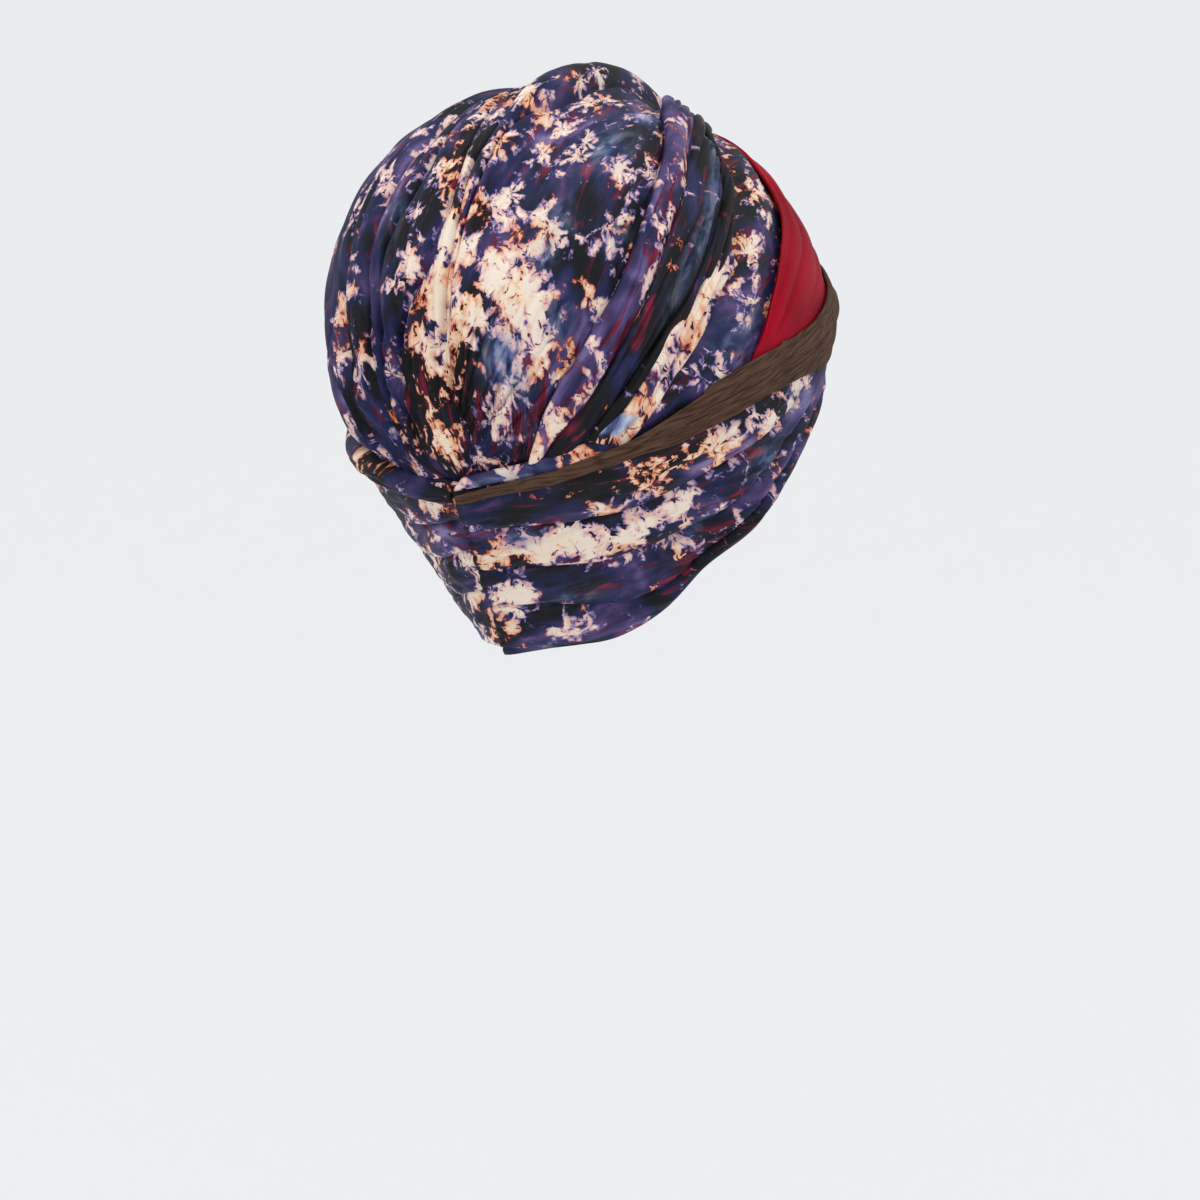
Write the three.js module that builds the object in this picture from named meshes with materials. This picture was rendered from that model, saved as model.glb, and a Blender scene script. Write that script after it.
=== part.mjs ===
import * as THREE from 'three';

// Turban headwrap in its worn form. Lengths are millimetres, angles are degrees.
// +Z is up, the wearer looks to -Y, and the origin is the centre of the band line,
// the tilted oval where the crown meets the nape band.

// Overall form
const BAND_HALF_LEFT = 86;
const BAND_HALF_RIGHT = 91;
const BAND_HALF_BACK = 122.7;
const BAND_HALF_FRONT = 118;
const BAND_TILT = 23.7;
const CROWN_RISE = 121;
const CROWN_HALF_LEFT = 94;
const CROWN_HALF_RIGHT = 90;
const CROWN_HALF_BACK = 126;
const CROWN_HALF_FRONT = 121;
const CROWN_ROUNDNESS = 2.08;
const CROWN_LEAN_LEFT = 14;
const CROWN_LEAN_BACK = 7;
const CROWN_FILL_ANGLE = 20;
const HEM_HALF_WIDTH = 80.6;
const HEM_REACH = 101;
const NAPE_DROP = 113;

// Cloth and layers
const CLOTH = 2;
const GAP = 0.45;
const FOLD_DEPTH = 3;
const TUCK_INSET = 4.4;
const TUCK_LENGTH = 8;
const PLEAT_DEPTH = 2.4;
const SEAM_STEP = 3.2;
const SEAM_REACH = 14;
const SEAM_TWIST = 7;
const SASH_WIDTH = 24;
const SASH_CLOTH = 1.8;
const RED_HEIGHT = 82;
const ROLL_WIDTH = 12;
const ROLL_THICKNESS = 3.6;
const STRAP_CLOTH = 2.2;

const rad = (degrees) => (degrees * Math.PI) / 180;
const deg = (radians) => (radians * 180) / Math.PI;
const mix = (a, b, t) => a + (b - a) * t;
const clamp = (x, low, high) => Math.min(high, Math.max(low, x));

function ease(x) {
  const t = clamp(x, 0, 1);
  return t * t * (3 - 2 * t);
}

// Smooth curve through the rows of a table, column 0 is the station
function read(table, at, column) {
  const last = table.length - 1;
  const x = clamp(at, table[0][0], table[last][0]);
  let i = 0;
  while (i < last - 1 && table[i + 1][0] <= x) i += 1;
  const slope = (k) => {
    const a = table[Math.max(k - 1, 0)];
    const b = table[Math.min(k + 1, last)];
    return (b[column] - a[column]) / (b[0] - a[0]);
  };
  const step = table[i + 1][0] - table[i][0];
  const t = (x - table[i][0]) / step;
  const t2 = t * t;
  const t3 = t2 * t;
  return (
    (2 * t3 - 3 * t2 + 1) * table[i][column] +
    (t3 - 2 * t2 + t) * step * slope(i) +
    (3 * t2 - 2 * t3) * table[i + 1][column] +
    (t3 - t2) * step * slope(i + 1)
  );
}

// Hem of the nape band, mirrored left to right.
// Columns: angle from the back, side share of HEM_HALF_WIDTH,
// length share of HEM_REACH, height share of NAPE_DROP
const HEM = [
  [-16, -0.273, 0.475, -0.982],
  [0, 0, 0.535, -1],
  [16, 0.273, 0.475, -0.982],
  [27, 0.405, 0.345, -0.95],
  [40, 0.587, 0.252, -0.855],
  [52, 0.762, 0.203, -0.713],
  [70, 1, 0.064, -0.536],
  [95, 1.05, -0.28, -0.218],
  [115, 0.93, -0.561, -0.023],
  [140, 0.62, -0.842, 0.08],
  [180, 0, -1, 0.133],
  [220, -0.62, -0.842, 0.08],
];

const ALONG = new THREE.Vector3(0, Math.cos(rad(BAND_TILT)), -Math.sin(rad(BAND_TILT)));
const RISING = new THREE.Vector3(0, Math.sin(rad(BAND_TILT)), Math.cos(rad(BAND_TILT)));
const RISE_PER_DEGREE = rad(CROWN_RISE);

function wrapAngle(angle) {
  let a = angle % 360;
  if (a > 180) a -= 360;
  if (a < -180) a += 360;
  return a;
}

function hemPoint(angle) {
  const turned = wrapAngle(angle);
  const a = turned - SEAM_TWIST * (1 - ease(Math.abs(turned) / 40));
  const side = a < 0 ? 1 : -1;
  return new THREE.Vector3(
    side * HEM_HALF_WIDTH * read(HEM, Math.abs(a), 1),
    HEM_REACH * read(HEM, Math.abs(a), 2),
    NAPE_DROP * read(HEM, Math.abs(a), 3),
  );
}

// Point and outward normal of the crown form in direction (side, along, rising)
function crownForm(x, t, n) {
  const p = CROWN_ROUNDNESS;
  const size = (Math.abs(x) ** p + Math.abs(t) ** p + Math.abs(n) ** p) ** (1 / p);
  const wx = x / size;
  const wt = t / size;
  const wn = n / size;
  const fill = ease(deg(Math.asin(clamp(n, -1, 1))) / CROWN_FILL_ANGLE);
  const halfWidth = wx > 0
    ? mix(BAND_HALF_LEFT, CROWN_HALF_LEFT, fill)
    : mix(BAND_HALF_RIGHT, CROWN_HALF_RIGHT, fill);
  const halfLength = wt > 0
    ? mix(BAND_HALF_BACK, CROWN_HALF_BACK, fill)
    : mix(BAND_HALF_FRONT, CROWN_HALF_FRONT, fill);
  const lean = Math.max(wn, 0);
  const point = new THREE.Vector3(wx * halfWidth + CROWN_LEAN_LEFT * lean, 0, 0);
  point.addScaledVector(ALONG, wt * halfLength + CROWN_LEAN_BACK * lean);
  point.addScaledVector(RISING, wn * CROWN_RISE);
  const normal = new THREE.Vector3(wx / halfWidth, 0, 0);
  normal.addScaledVector(ALONG, wt / halfLength);
  normal.addScaledVector(RISING, wn / CROWN_RISE);
  return { point, normal: normal.normalize() };
}

function crownAt(angle, rise) {
  const a = rad(wrapAngle(angle));
  const up = rad(rise / RISE_PER_DEGREE);
  return crownForm(-Math.cos(up) * Math.sin(a), Math.cos(up) * Math.cos(a), Math.sin(up));
}

function napeAt(angle, drop) {
  const top = crownAt(angle, 0).point;
  const bottom = hemPoint(angle);
  const length = top.distanceTo(bottom);
  const point = top.clone().lerp(bottom, drop / length);
  const share = clamp(drop / length, 0, 1);
  const before = crownAt(angle - 1, 0).point.lerp(hemPoint(angle - 1), share);
  const after = crownAt(angle + 1, 0).point.lerp(hemPoint(angle + 1), share);
  const normal = after.sub(before).cross(top.sub(bottom)).normalize();
  return { point, normal, length };
}

// One surface for the whole wrap: angle round from the back (to the wearer's right),
// rise above the band line along the cloth, lift off the surface
function place(angle, rise, lift) {
  const crown = crownAt(angle, Math.max(rise, 0));
  const nape = napeAt(angle, Math.max(-rise, 0));
  const point = rise >= 0 ? crown.point : nape.point;
  const normal = nape.normal.clone().lerp(crown.normal, ease((rise + 8) / 16)).normalize();
  return point.clone().addScaledVector(normal, lift);
}

// Place on the crown by reach from the back gather (0 to 180) and turn over the top
// (0 at the wearer's left, 180 at the wearer's right)
function fromGather(reach, turn) {
  const x = Math.sin(rad(reach)) * Math.cos(rad(turn));
  const t = Math.cos(rad(reach));
  const n = Math.sin(rad(reach)) * Math.sin(rad(turn));
  return {
    angle: deg(Math.atan2(-x, t)),
    rise: Math.max(deg(Math.asin(clamp(n, -1, 1))), 0) * RISE_PER_DEGREE,
  };
}

// Closed solid from an outer and an inner grid of points. Rows run along the cloth,
// columns run across it. Points that coincide become one vertex.
function clothSolid(outer, inner, closedEnds = false) {
  const positions = [];
  const index = [];
  const seen = new Map();
  const vertex = (p) => {
    const key = [p.x, p.y, p.z].map((value) => Math.round(value * 1000)).join(' ');
    if (!seen.has(key)) {
      seen.set(key, positions.length / 3);
      positions.push(p.x, p.y, p.z);
    }
    return seen.get(key);
  };
  const triangle = (a, b, c) => {
    if (a !== b && b !== c && c !== a) index.push(a, b, c);
  };
  const quad = (a, b, c, d) => {
    const [i, j, k, l] = [a, b, c, d].map(vertex);
    if (a.distanceTo(c) <= b.distanceTo(d)) {
      triangle(i, j, k);
      triangle(i, k, l);
    } else {
      triangle(i, j, l);
      triangle(j, k, l);
    }
  };
  const rows = outer.length - 1;
  const columns = outer[0].length - 1;
  for (let r = 0; r < rows; r += 1) {
    for (let c = 0; c < columns; c += 1) {
      quad(outer[r][c], outer[r + 1][c], outer[r + 1][c + 1], outer[r][c + 1]);
      quad(inner[r][c], inner[r][c + 1], inner[r + 1][c + 1], inner[r + 1][c]);
    }
    quad(inner[r][0], inner[r + 1][0], outer[r + 1][0], outer[r][0]);
    quad(outer[r][columns], outer[r + 1][columns], inner[r + 1][columns], inner[r][columns]);
  }
  if (!closedEnds) {
    for (let c = 0; c < columns; c += 1) {
      quad(outer[0][c], outer[0][c + 1], inner[0][c + 1], inner[0][c]);
      quad(inner[rows][c], inner[rows][c + 1], outer[rows][c + 1], outer[rows][c]);
    }
  }
  const geometry = new THREE.BufferGeometry();
  geometry.setAttribute('position', new THREE.Float32BufferAttribute(positions, 3));
  geometry.setIndex(index);
  geometry.computeVertexNormals();
  return geometry;
}

function piece(name, geometry, colour) {
  const material = new THREE.MeshStandardMaterial({ color: colour, roughness: 0.85 });
  const mesh = new THREE.Mesh(geometry, material);
  mesh.name = name;
  return mesh;
}

// Section of one fold between two creases: 0 at the creases, 1 on the ridge
function fold(t) {
  return (1 - Math.abs(2 * t - 1) ** 2.4) ** 0.75;
}

const FOLD_STEPS = [0.14, 0.45, 0.8, 1];

// Upper edge of the red sash, which the crown lies flat under.
// Columns: angle, upper edge as a share of RED_HEIGHT above the band line
const RED = [
  [76, 0.14],
  [83, 0.22],
  [90, 0.33],
  [98, 0.43],
  [113, 0.57],
  [122, 0.66],
  [127, 0.8],
  [133, 0.95],
  [145, 1],
  [180, 1],
  [200, 0.98],
  [220, 0.84],
  [240, 0.46],
  [250, 0.2],
];
const RED_LOW_RISE = 1.5;
const RED_FOLDS = [0, 0.22, 0.5, 0.8, 1];


function redEdge(angle) {
  const a = angle < 0 ? angle + 360 : angle;
  const past = Math.max(RED[0][0] - a, a - RED[RED.length - 1][0], 0);
  return RED_HEIGHT * read(RED, a, 1) * (1 - ease(past / 8));
}

// Crown
// Creases of the crown, each a list of reach from the gather and turn over the top
const CREASE_LEFT = [
  [0, 12], [24, 17], [29, 28], [38, 38], [50, 46], [80, 36], [105, 42], [140, 50], [180, 50],
];
const CREASE_SIDE = [
  [0, 26], [18, 34], [24, 45], [34, 60], [41, 64], [60, 71], [86, 73], [120, 74], [180, 74],
];
const CREASE_BRANCH = [
  [0, 38], [14, 46], [21, 59], [27, 67], [37, 74], [44, 84], [55, 86], [90, 80], [180, 84],
];
const CREASE_UPPER = [
  [0, 60], [14, 72], [27, 82], [37, 86], [48, 88.5], [61, 90], [81, 88], [100, 85], [180, 90],
];
const CREASE_SHORT = [
  [0, 110], [11, 106], [16, 101], [26, 97], [34, 94], [50, 93], [70, 92], [100, 87.5], [180, 94],
];
const CREASE_MIDDLE = [
  [0, 150], [5, 140], [11, 119], [16, 107], [22, 101], [38, 100], [62, 97], [101, 90], [180, 98],
];
const DRAPE_LEFT = [
  [0, 176], [18, 175], [22, 160], [29, 151], [37, 147], [47, 144], [58, 140], [70, 138],
  [84, 134], [99, 126], [117, 115], [135, 109], [180, 106],
];
const DRAPE_MIDDLE = [
  [21.5, 176], [30, 158], [39, 155], [52, 152], [67, 149], [81, 144], [96, 137], [114, 127],
  [130, 120],
];
const DRAPE_UNDER = [
  [31, 174.5], [35, 168], [47, 162], [61, 158], [78, 154], [91, 149], [102, 140], [113, 130],
  [125, 125.5],
];
const DRAPE_RIGHT = [
  [37, 172.5], [43, 167], [54, 164], [68, 159], [80, 156], [88, 154], [98, 149], [105, 143],
  [111, 134], [120, 131],
];

const CROWN_ROWS = [
  0, 4, 8, 12, 16, 21, 26, 31, 37, 43, 50, 57, 65, 73, 81, 89, 97, 105, 114, 124, 135, 146,
  157, 168, 180,
];

// Turns of the creases in one row, kept in order and apart
function creaseTurns(reach) {
  const left = read(CREASE_LEFT, reach, 1);
  const turns = [0, left * 0.5, left];
  const others = [CREASE_SIDE, CREASE_BRANCH, CREASE_UPPER, CREASE_SHORT, CREASE_MIDDLE, DRAPE_LEFT];
  for (const crease of others) {
    turns.push(Math.max(read(crease, reach, 1), turns[turns.length - 1] + 2));
  }
  return turns;
}

function crown() {
  const outer = [];
  const inner = [];
  for (const reach of CROWN_ROWS) {
    const outerRow = [];
    const innerRow = [];
    const fade = Math.min(1, Math.sin(rad(reach)) / Math.sin(rad(35)));
    const add = (turn, height) => {
      const at = fromGather(reach, turn);
      const bare = ease((at.rise - redEdge(at.angle) - 8) / 14);
      const tucked = mix(-TUCK_INSET, mix(-FOLD_DEPTH, height, bare), ease((at.rise - 2) / 14));
      outerRow.push(place(at.angle, at.rise, tucked));
      innerRow.push(place(at.angle, at.rise, 0.75 * tucked - CLOTH - 1.1));
    };
    const lip = (turn) => {
      const at = fromGather(reach, turn);
      outerRow.push(place(at.angle, -TUCK_LENGTH, -TUCK_INSET));
      innerRow.push(place(at.angle, -TUCK_LENGTH, -TUCK_INSET - CLOTH));
    };
    const turns = creaseTurns(reach);
    lip(0);
    add(0, -FOLD_DEPTH);
    for (let k = 1; k < turns.length; k += 1) {
      const width = turns[k] - turns[k - 1];
      const depth = FOLD_DEPTH * fade * Math.min(1, width / 11);
      for (const t of FOLD_STEPS) {
        add(mix(turns[k - 1], turns[k], t), depth * fold(t) - FOLD_DEPTH);
      }
    }
    const start = turns[turns.length - 1];
    for (let k = 1; k <= 6; k += 1) add(mix(start, 180, k / 6), -FOLD_DEPTH);
    lip(180);
    outer.push(outerRow);
    inner.push(innerRow);
  }
  return piece('crown', clothSolid(outer.reverse(), inner.reverse(), true), '#6e5a9a');
}

// Nape band
// Creases of the pleats round the band, from the seam round by the wearer's right.
// Columns: angle, heights of the three creases as shares of the band's height
const PLEATS = [
  [0, 0.74, 0.54, 0.27],
  [12, 0.73, 0.49, 0.23],
  [25, 0.7, 0.46, 0.23],
  [38, 0.63, 0.37, 0.2],
  [48, 0.62, 0.3, 0.13],
  [57, 0.62, 0.26, 0.1],
  [68, 0.64, 0.3, 0.12],
  [80, 0.65, 0.37, 0.15],
  [120, 0.6, 0.38, 0.17],
  [240, 0.6, 0.38, 0.17],
  [300, 0.62, 0.42, 0.2],
  [330, 0.69, 0.47, 0.24],
  [347, 0.74, 0.54, 0.31],
  [360, 0.8, 0.62, 0.28],
  [366, 0.8, 0.62, 0.28],
];

const NAPE_ROWS = [
  0, 3, 7, 11, 16, 21, 26, 31, 36, 41, 46, 51, 56, 61, 67, 73, 80, 88, 97, 107, 118, 130, 143,
  156, 168, 180, 192, 204, 217, 230, 242, 253, 263, 272, 280, 287, 293, 299, 304, 309, 314, 319,
  324, 329, 334, 339, 344, 349, 353, 357, 360, 363, 366,
];

function seamStep(angle) {
  const a = angle > 340 ? SEAM_REACH : angle;
  return SEAM_STEP * (1 - ease(a / SEAM_REACH));
}

function napeBand() {
  const outer = [];
  const inner = [];
  for (const angle of NAPE_ROWS) {
    const outerRow = [];
    const innerRow = [];
    const length = napeAt(angle, 0).length;
    const fromSeam = Math.min(angle, Math.abs(360 - angle));
    const calm = angle > 360 ? 0.35 : mix(0.35, 1, ease((fromSeam - 1) / 10));
    const small = Math.min(1, length / 50);
    const step = seamStep(angle);
    const add = (share, height) => {
      const relief = (height - PLEAT_DEPTH) * calm * small;
      outerRow.push(place(angle, (share - 1) * length, relief + step));
      innerRow.push(place(angle, (share - 1) * length, 0.6 * relief - CLOTH - 0.2 + step));
    };
    const creases = [0, read(PLEATS, angle, 3), read(PLEATS, angle, 2), read(PLEATS, angle, 1), 1];
    add(0, PLEAT_DEPTH * 0.4);
    for (let k = 1; k < creases.length; k += 1) {
      for (const t of FOLD_STEPS) {
        const base = k === 1 ? mix(0.4, 0, t) : 0;
        add(mix(creases[k - 1], creases[k], t), PLEAT_DEPTH * Math.max(fold(t), base));
      }
    }
    outer.push(outerRow);
    inner.push(innerRow);
  }
  return piece('nape_band', clothSolid(outer, inner), '#4a3a70');
}

// Brown sash
// Columns: angle, lower edge and upper edge as shares of SASH_WIDTH from the band line
const BROWN = [
  [1.2, -0.22, -0.04],
  [10, -0.17, 0.03],
  [25, -0.14, 0.11],
  [35, -0.06, 0.19],
  [44, -0.03, 0.25],
  [52, -0.09, 0.35],
  [60, -0.08, 0.46],
  [68, -0.08, 0.55],
  [77, -0.1, 0.56],
  [90, -0.25, 0.45],
  [104, -0.54, 0.36],
  [120, -0.62, 0.36],
  [150, -0.6, 0.44],
  [180, -0.56, 0.46],
  [215, -0.5, 0.42],
  [240, -0.34, 0.3],
  [250, -0.22, 0.2],
  [256.5, -0.14, 0.1],
];

const BROWN_ROWS = [
  1.2, 6, 12, 18, 25, 32, 39, 46, 53, 60, 67, 74, 81, 88, 95, 102, 109, 117, 126, 135, 145, 155,
  165, 175, 185, 195, 205, 215, 225, 234, 242, 249, 256.5,
];

function brownEdge(angle, column) {
  return SASH_WIDTH * read(BROWN, angle, column);
}

function brownSash() {
  const outer = [];
  const inner = [];
  const steps = [0, 0.12, 0.32, 0.5, 0.66, 0.86, 1];
  const heights = [0.45, 1, 0.85, 1.25, 0.85, 1.1, 0.45];
  for (const angle of BROWN_ROWS) {
    const low = brownEdge(angle, 1);
    const high = brownEdge(angle, 2);
    const step = seamStep(angle);
    const full = SASH_CLOTH * mix(0.7, 1, ease((high - low) / SASH_WIDTH));
    outer.push(steps.map((t, k) => place(angle, mix(low, high, t), step + GAP + full * heights[k])));
    inner.push(steps.map((t) => place(angle, mix(low, high, t), step + GAP)));
  }
  return piece('brown_sash', clothSolid(outer, inner), '#5f493b');
}

// Red sash
const RED_ROWS = [
  76, 80, 84, 89, 94, 99, 104, 109, 114, 119, 123, 127, 131, 136, 143, 151, 160, 170, 180, 190,
  200, 209, 217, 224, 231, 238, 244, 250,
];

function redSash() {
  const outer = [];
  const inner = [];
  for (const angle of RED_ROWS) {
    const outerRow = [];
    const innerRow = [];
    const high = redEdge(angle);
    const covered = brownEdge(angle, 2);
    const add = (t, height) => {
      const rise = mix(RED_LOW_RISE, high, t);
      const open = ease((rise - covered - 1) / 9);
      const puff = height * open;
      outerRow.push(place(angle, rise, puff + GAP - FOLD_DEPTH + SASH_CLOTH + 0.2));
      innerRow.push(place(angle, rise, 0.75 * puff + GAP - FOLD_DEPTH));
    };
    add(0, 0);
    for (let k = 1; k < RED_FOLDS.length; k += 1) {
      for (const t of [0.45, 1]) {
        add(mix(RED_FOLDS[k - 1], RED_FOLDS[k], t), 0.3 + 1.5 * fold(t));
      }
    }
    outer.push(outerRow);
    inner.push(innerRow);
  }
  return piece('red_sash', clothSolid(outer, inner), '#a8102c');
}

// Strips laid on the crown between curves given by reach and turn
function overCrown(curves, starts, ends, rows, section) {
  const outer = [];
  const inner = [];
  for (let r = 0; r <= rows; r += 1) {
    const along = r / rows;
    const spots = curves.map((curve, k) => {
      const reach = mix(starts[k], ends[k], along);
      return { reach, turn: read(curve, reach, 1) };
    });
    const outerRow = [];
    const innerRow = [];
    for (const [k, t, height] of section(along)) {
      const a = spots[k];
      const b = spots[Math.min(k + 1, spots.length - 1)];
      const at = fromGather(mix(a.reach, b.reach, t), mix(a.turn, b.turn, t));
      outerRow.push(place(at.angle, at.rise, height));
      innerRow.push(place(at.angle, at.rise, GAP - FOLD_DEPTH));
    }
    outer.push(outerRow);
    inner.push(innerRow);
  }
  return clothSolid(outer.reverse(), inner.reverse());
}

// Side drape
function sideDrape() {
  const curves = [DRAPE_LEFT, DRAPE_MIDDLE, DRAPE_UNDER, DRAPE_RIGHT];
  const starts = [18, 21.5, 31, 37];
  const ends = [135, 130, 125, 120];
  const edge = GAP - FOLD_DEPTH + 1.2;
  const section = (along) => {
    const low = GAP - FOLD_DEPTH + CLOTH * 0.8;
    const swell = mix(0.5, 1, ease(along * 5)) * mix(0.5, 1, ease((1 - along) * 5));
    const spots = [[0, 0, edge]];
    for (let k = 0; k < 3; k += 1) {
      const puff = [2.2, 1.9, 1.4][k] * swell;
      for (const t of FOLD_STEPS) {
        const last = k === 2 && t === 1;
        spots.push([k, t, last ? edge : low + puff * fold(t)]);
      }
    }
    return spots;
  };
  return piece('side_drape', overCrown(curves, starts, ends, 16, section), '#3a3a6a');
}

// Tie strap
const STRAP_LEFT = [
  [38.5, 172.6], [43, 168.3], [54, 165.4], [68, 160.5], [80, 157.4], [87, 155.8],
];
const STRAP_RIGHT = [
  [45.5, 174.5], [52, 172], [59, 169.2], [69, 166], [79, 162], [87, 158.8],
];

function tieStrap() {
  const low = GAP - FOLD_DEPTH;
  const section = () => [
    [0, 0, low + STRAP_CLOTH * 0.6],
    [0, 0.12, low + STRAP_CLOTH],
    [0, 0.5, low + STRAP_CLOTH * 0.85],
    [0, 0.88, low + STRAP_CLOTH],
    [0, 1, low + STRAP_CLOTH * 0.6],
  ];
  const curves = [STRAP_LEFT, STRAP_RIGHT];
  return piece('tie_strap', overCrown(curves, [38.5, 45.5], [87, 87], 9, section), '#f5e3cc');
}

// Band roll
// Columns: angle from the seam to the wearer's left, middle and width as shares of ROLL_WIDTH,
// thickness as a share of ROLL_THICKNESS
const ROLL = [
  [-102.5, -0.1, 0.42, 0.45],
  [-90, 0, 0.9, 0.85],
  [-60, 0.02, 1, 1],
  [-40, 0.1, 0.95, 1],
  [-25, 0.05, 0.7, 0.9],
  [-13, -0.28, 0.65, 0.8],
  [-6, -0.42, 0.55, 0.65],
  [-1.5, -0.5, 0.42, 0.5],
];
const ROLL_ROWS = [
  -102.5, -98, -92, -85, -78, -71, -64, -57, -50, -44, -38, -33, -28, -23, -18, -14, -10, -6,
  -3.5, -1.5,
];

function bandRoll() {
  const outer = [];
  const inner = [];
  const steps = [0, 0.1, 0.28, 0.5, 0.72, 0.9, 1];
  for (const angle of ROLL_ROWS) {
    const middle = ROLL_WIDTH * read(ROLL, angle, 1);
    const width = ROLL_WIDTH * read(ROLL, angle, 2);
    const thick = ROLL_THICKNESS * read(ROLL, angle, 3);
    const rise = (t) => middle + width * (t - 0.5);
    outer.push(steps.map((t) => place(angle, rise(t), GAP + thick * mix(0.3, 1, fold(t)))));
    inner.push(steps.map((t) => place(angle, rise(t), GAP)));
  }
  return piece('band_roll', clothSolid(outer, inner), '#b08a90');
}

const headwrap = new THREE.Group();
headwrap.name = 'turban_headwrap';
headwrap.add(crown());
headwrap.add(napeBand());
headwrap.add(bandRoll());
headwrap.add(sideDrape());
headwrap.add(tieStrap());
headwrap.add(redSash());
headwrap.add(brownSash());

export default headwrap;
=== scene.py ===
import math
from functools import partial

import bmesh
import bpy
import numpy as np
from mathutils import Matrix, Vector, noise


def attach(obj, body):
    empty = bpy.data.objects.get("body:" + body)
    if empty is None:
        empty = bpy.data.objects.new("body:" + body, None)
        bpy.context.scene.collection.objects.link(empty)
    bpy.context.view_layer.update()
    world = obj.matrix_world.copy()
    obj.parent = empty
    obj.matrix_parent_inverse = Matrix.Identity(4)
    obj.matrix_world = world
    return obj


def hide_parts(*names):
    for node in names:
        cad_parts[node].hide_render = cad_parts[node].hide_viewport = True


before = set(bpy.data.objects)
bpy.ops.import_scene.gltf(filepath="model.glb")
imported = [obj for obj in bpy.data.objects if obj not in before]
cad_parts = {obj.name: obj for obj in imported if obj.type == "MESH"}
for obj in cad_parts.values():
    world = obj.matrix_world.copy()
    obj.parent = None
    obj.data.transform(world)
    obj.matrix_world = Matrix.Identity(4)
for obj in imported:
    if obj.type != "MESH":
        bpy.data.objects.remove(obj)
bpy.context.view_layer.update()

# Camera
# Level view from behind and to the wearer's right. The picture is 480 mm wide
# at the wrap, and the wrap stands high in it.
TURN_FROM_BACK = math.radians(28.5)
CAMERA_AWAY = 2.6
PICTURE_WIDTH = 0.480
look = Vector((math.sin(TURN_FROM_BACK), -math.cos(TURN_FROM_BACK), 0))
aim = Vector((-math.cos(TURN_FROM_BACK), -math.sin(TURN_FROM_BACK), 0)) * 0.0024
aim.z = -0.0926
camera_data = bpy.data.cameras.new("camera")
camera_data.sensor_width = 36
camera_data.lens = 36 * CAMERA_AWAY / PICTURE_WIDTH
camera = bpy.data.objects.new("camera", camera_data)
camera.location = aim - look * CAMERA_AWAY
camera.rotation_euler = look.to_track_quat("-Z", "Y").to_euler()
bpy.context.scene.collection.objects.link(camera)
bpy.context.scene.camera = camera


# Crown
# A cap of printed stretch jersey, gathered to one point at the back of the band and
# drawn over the head in long folds. Its rim is stitched inside the nape band.
# The sizes below are the worn form's own, in millimetres and degrees.
BAND_HALF_LEFT = 86
BAND_HALF_RIGHT = 91
BAND_HALF_BACK = 122.7
BAND_HALF_FRONT = 118
BAND_TILT = 23.7
CROWN_RISE = 121
CROWN_HALF_LEFT = 94
CROWN_HALF_RIGHT = 90
CROWN_HALF_BACK = 126
CROWN_HALF_FRONT = 121
CROWN_ROUNDNESS = 2.08
CROWN_LEAN_LEFT = 14
CROWN_LEAN_BACK = 7
CROWN_FILL_ANGLE = 20
FOLD_DEPTH = 3.2
TUCK_INSET = 4.4
TUCK_LENGTH = 8
HEM_HALF_WIDTH = 80.6
HEM_REACH = 101
NAPE_DROP = 113
SEAM_TWIST = 7

# Hem of the band below the crown.
# Columns: angle from the back, side, length and height shares
HEM = [
    [-16, -0.273, 0.475, -0.982], [0, 0, 0.535, -1], [16, 0.273, 0.475, -0.982],
    [27, 0.405, 0.345, -0.95], [40, 0.587, 0.252, -0.855], [52, 0.762, 0.203, -0.713],
    [70, 1, 0.064, -0.536], [95, 1.05, -0.28, -0.218], [115, 0.93, -0.561, -0.023],
    [140, 0.62, -0.842, 0.08], [180, 0, -1, 0.133], [220, -0.62, -0.842, 0.08],
]


def ease(x):
    t = np.clip(x, 0, 1)
    return t * t * (3 - 2 * t)


def mix(a, b, t):
    return a + (b - a) * t


def read(table, at, column):
    """Smooth curve through a table's rows, whose first column is the station."""
    table = np.asarray(table, float)
    xs, ys = table[:, 0], table[:, column]
    x = np.clip(np.asarray(at, float), xs[0], xs[-1])
    i = np.clip(np.searchsorted(xs, x, side="right") - 1, 0, len(xs) - 2)
    low, high = np.maximum(np.arange(len(xs)) - 1, 0), np.minimum(np.arange(len(xs)) + 1, len(xs) - 1)
    slopes = (ys[high] - ys[low]) / (xs[high] - xs[low])
    step = xs[i + 1] - xs[i]
    t = (x - xs[i]) / step
    return (
        (2 * t**3 - 3 * t**2 + 1) * ys[i]
        + (t**3 - 2 * t**2 + t) * step * slopes[i]
        + (3 * t**2 - 2 * t**3) * ys[i + 1]
        + (t**3 - t**2) * step * slopes[i + 1]
    )


TILT = math.radians(BAND_TILT)
SIDE = np.array([1.0, 0, 0])
ALONG = np.array([0, math.cos(TILT), -math.sin(TILT)])
RISING = np.array([0, math.sin(TILT), math.cos(TILT)])
RISE_PER_DEGREE = math.radians(CROWN_RISE)
# Millimetres over the crown in a degree of turn, where the crown is widest
TURN_PER_DEGREE = 2.05
# Millimetres round the band in a degree
ROUND_PER_DEGREE = 1.9


def unit(v):
    return v / np.linalg.norm(v, axis=-1, keepdims=True)


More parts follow.
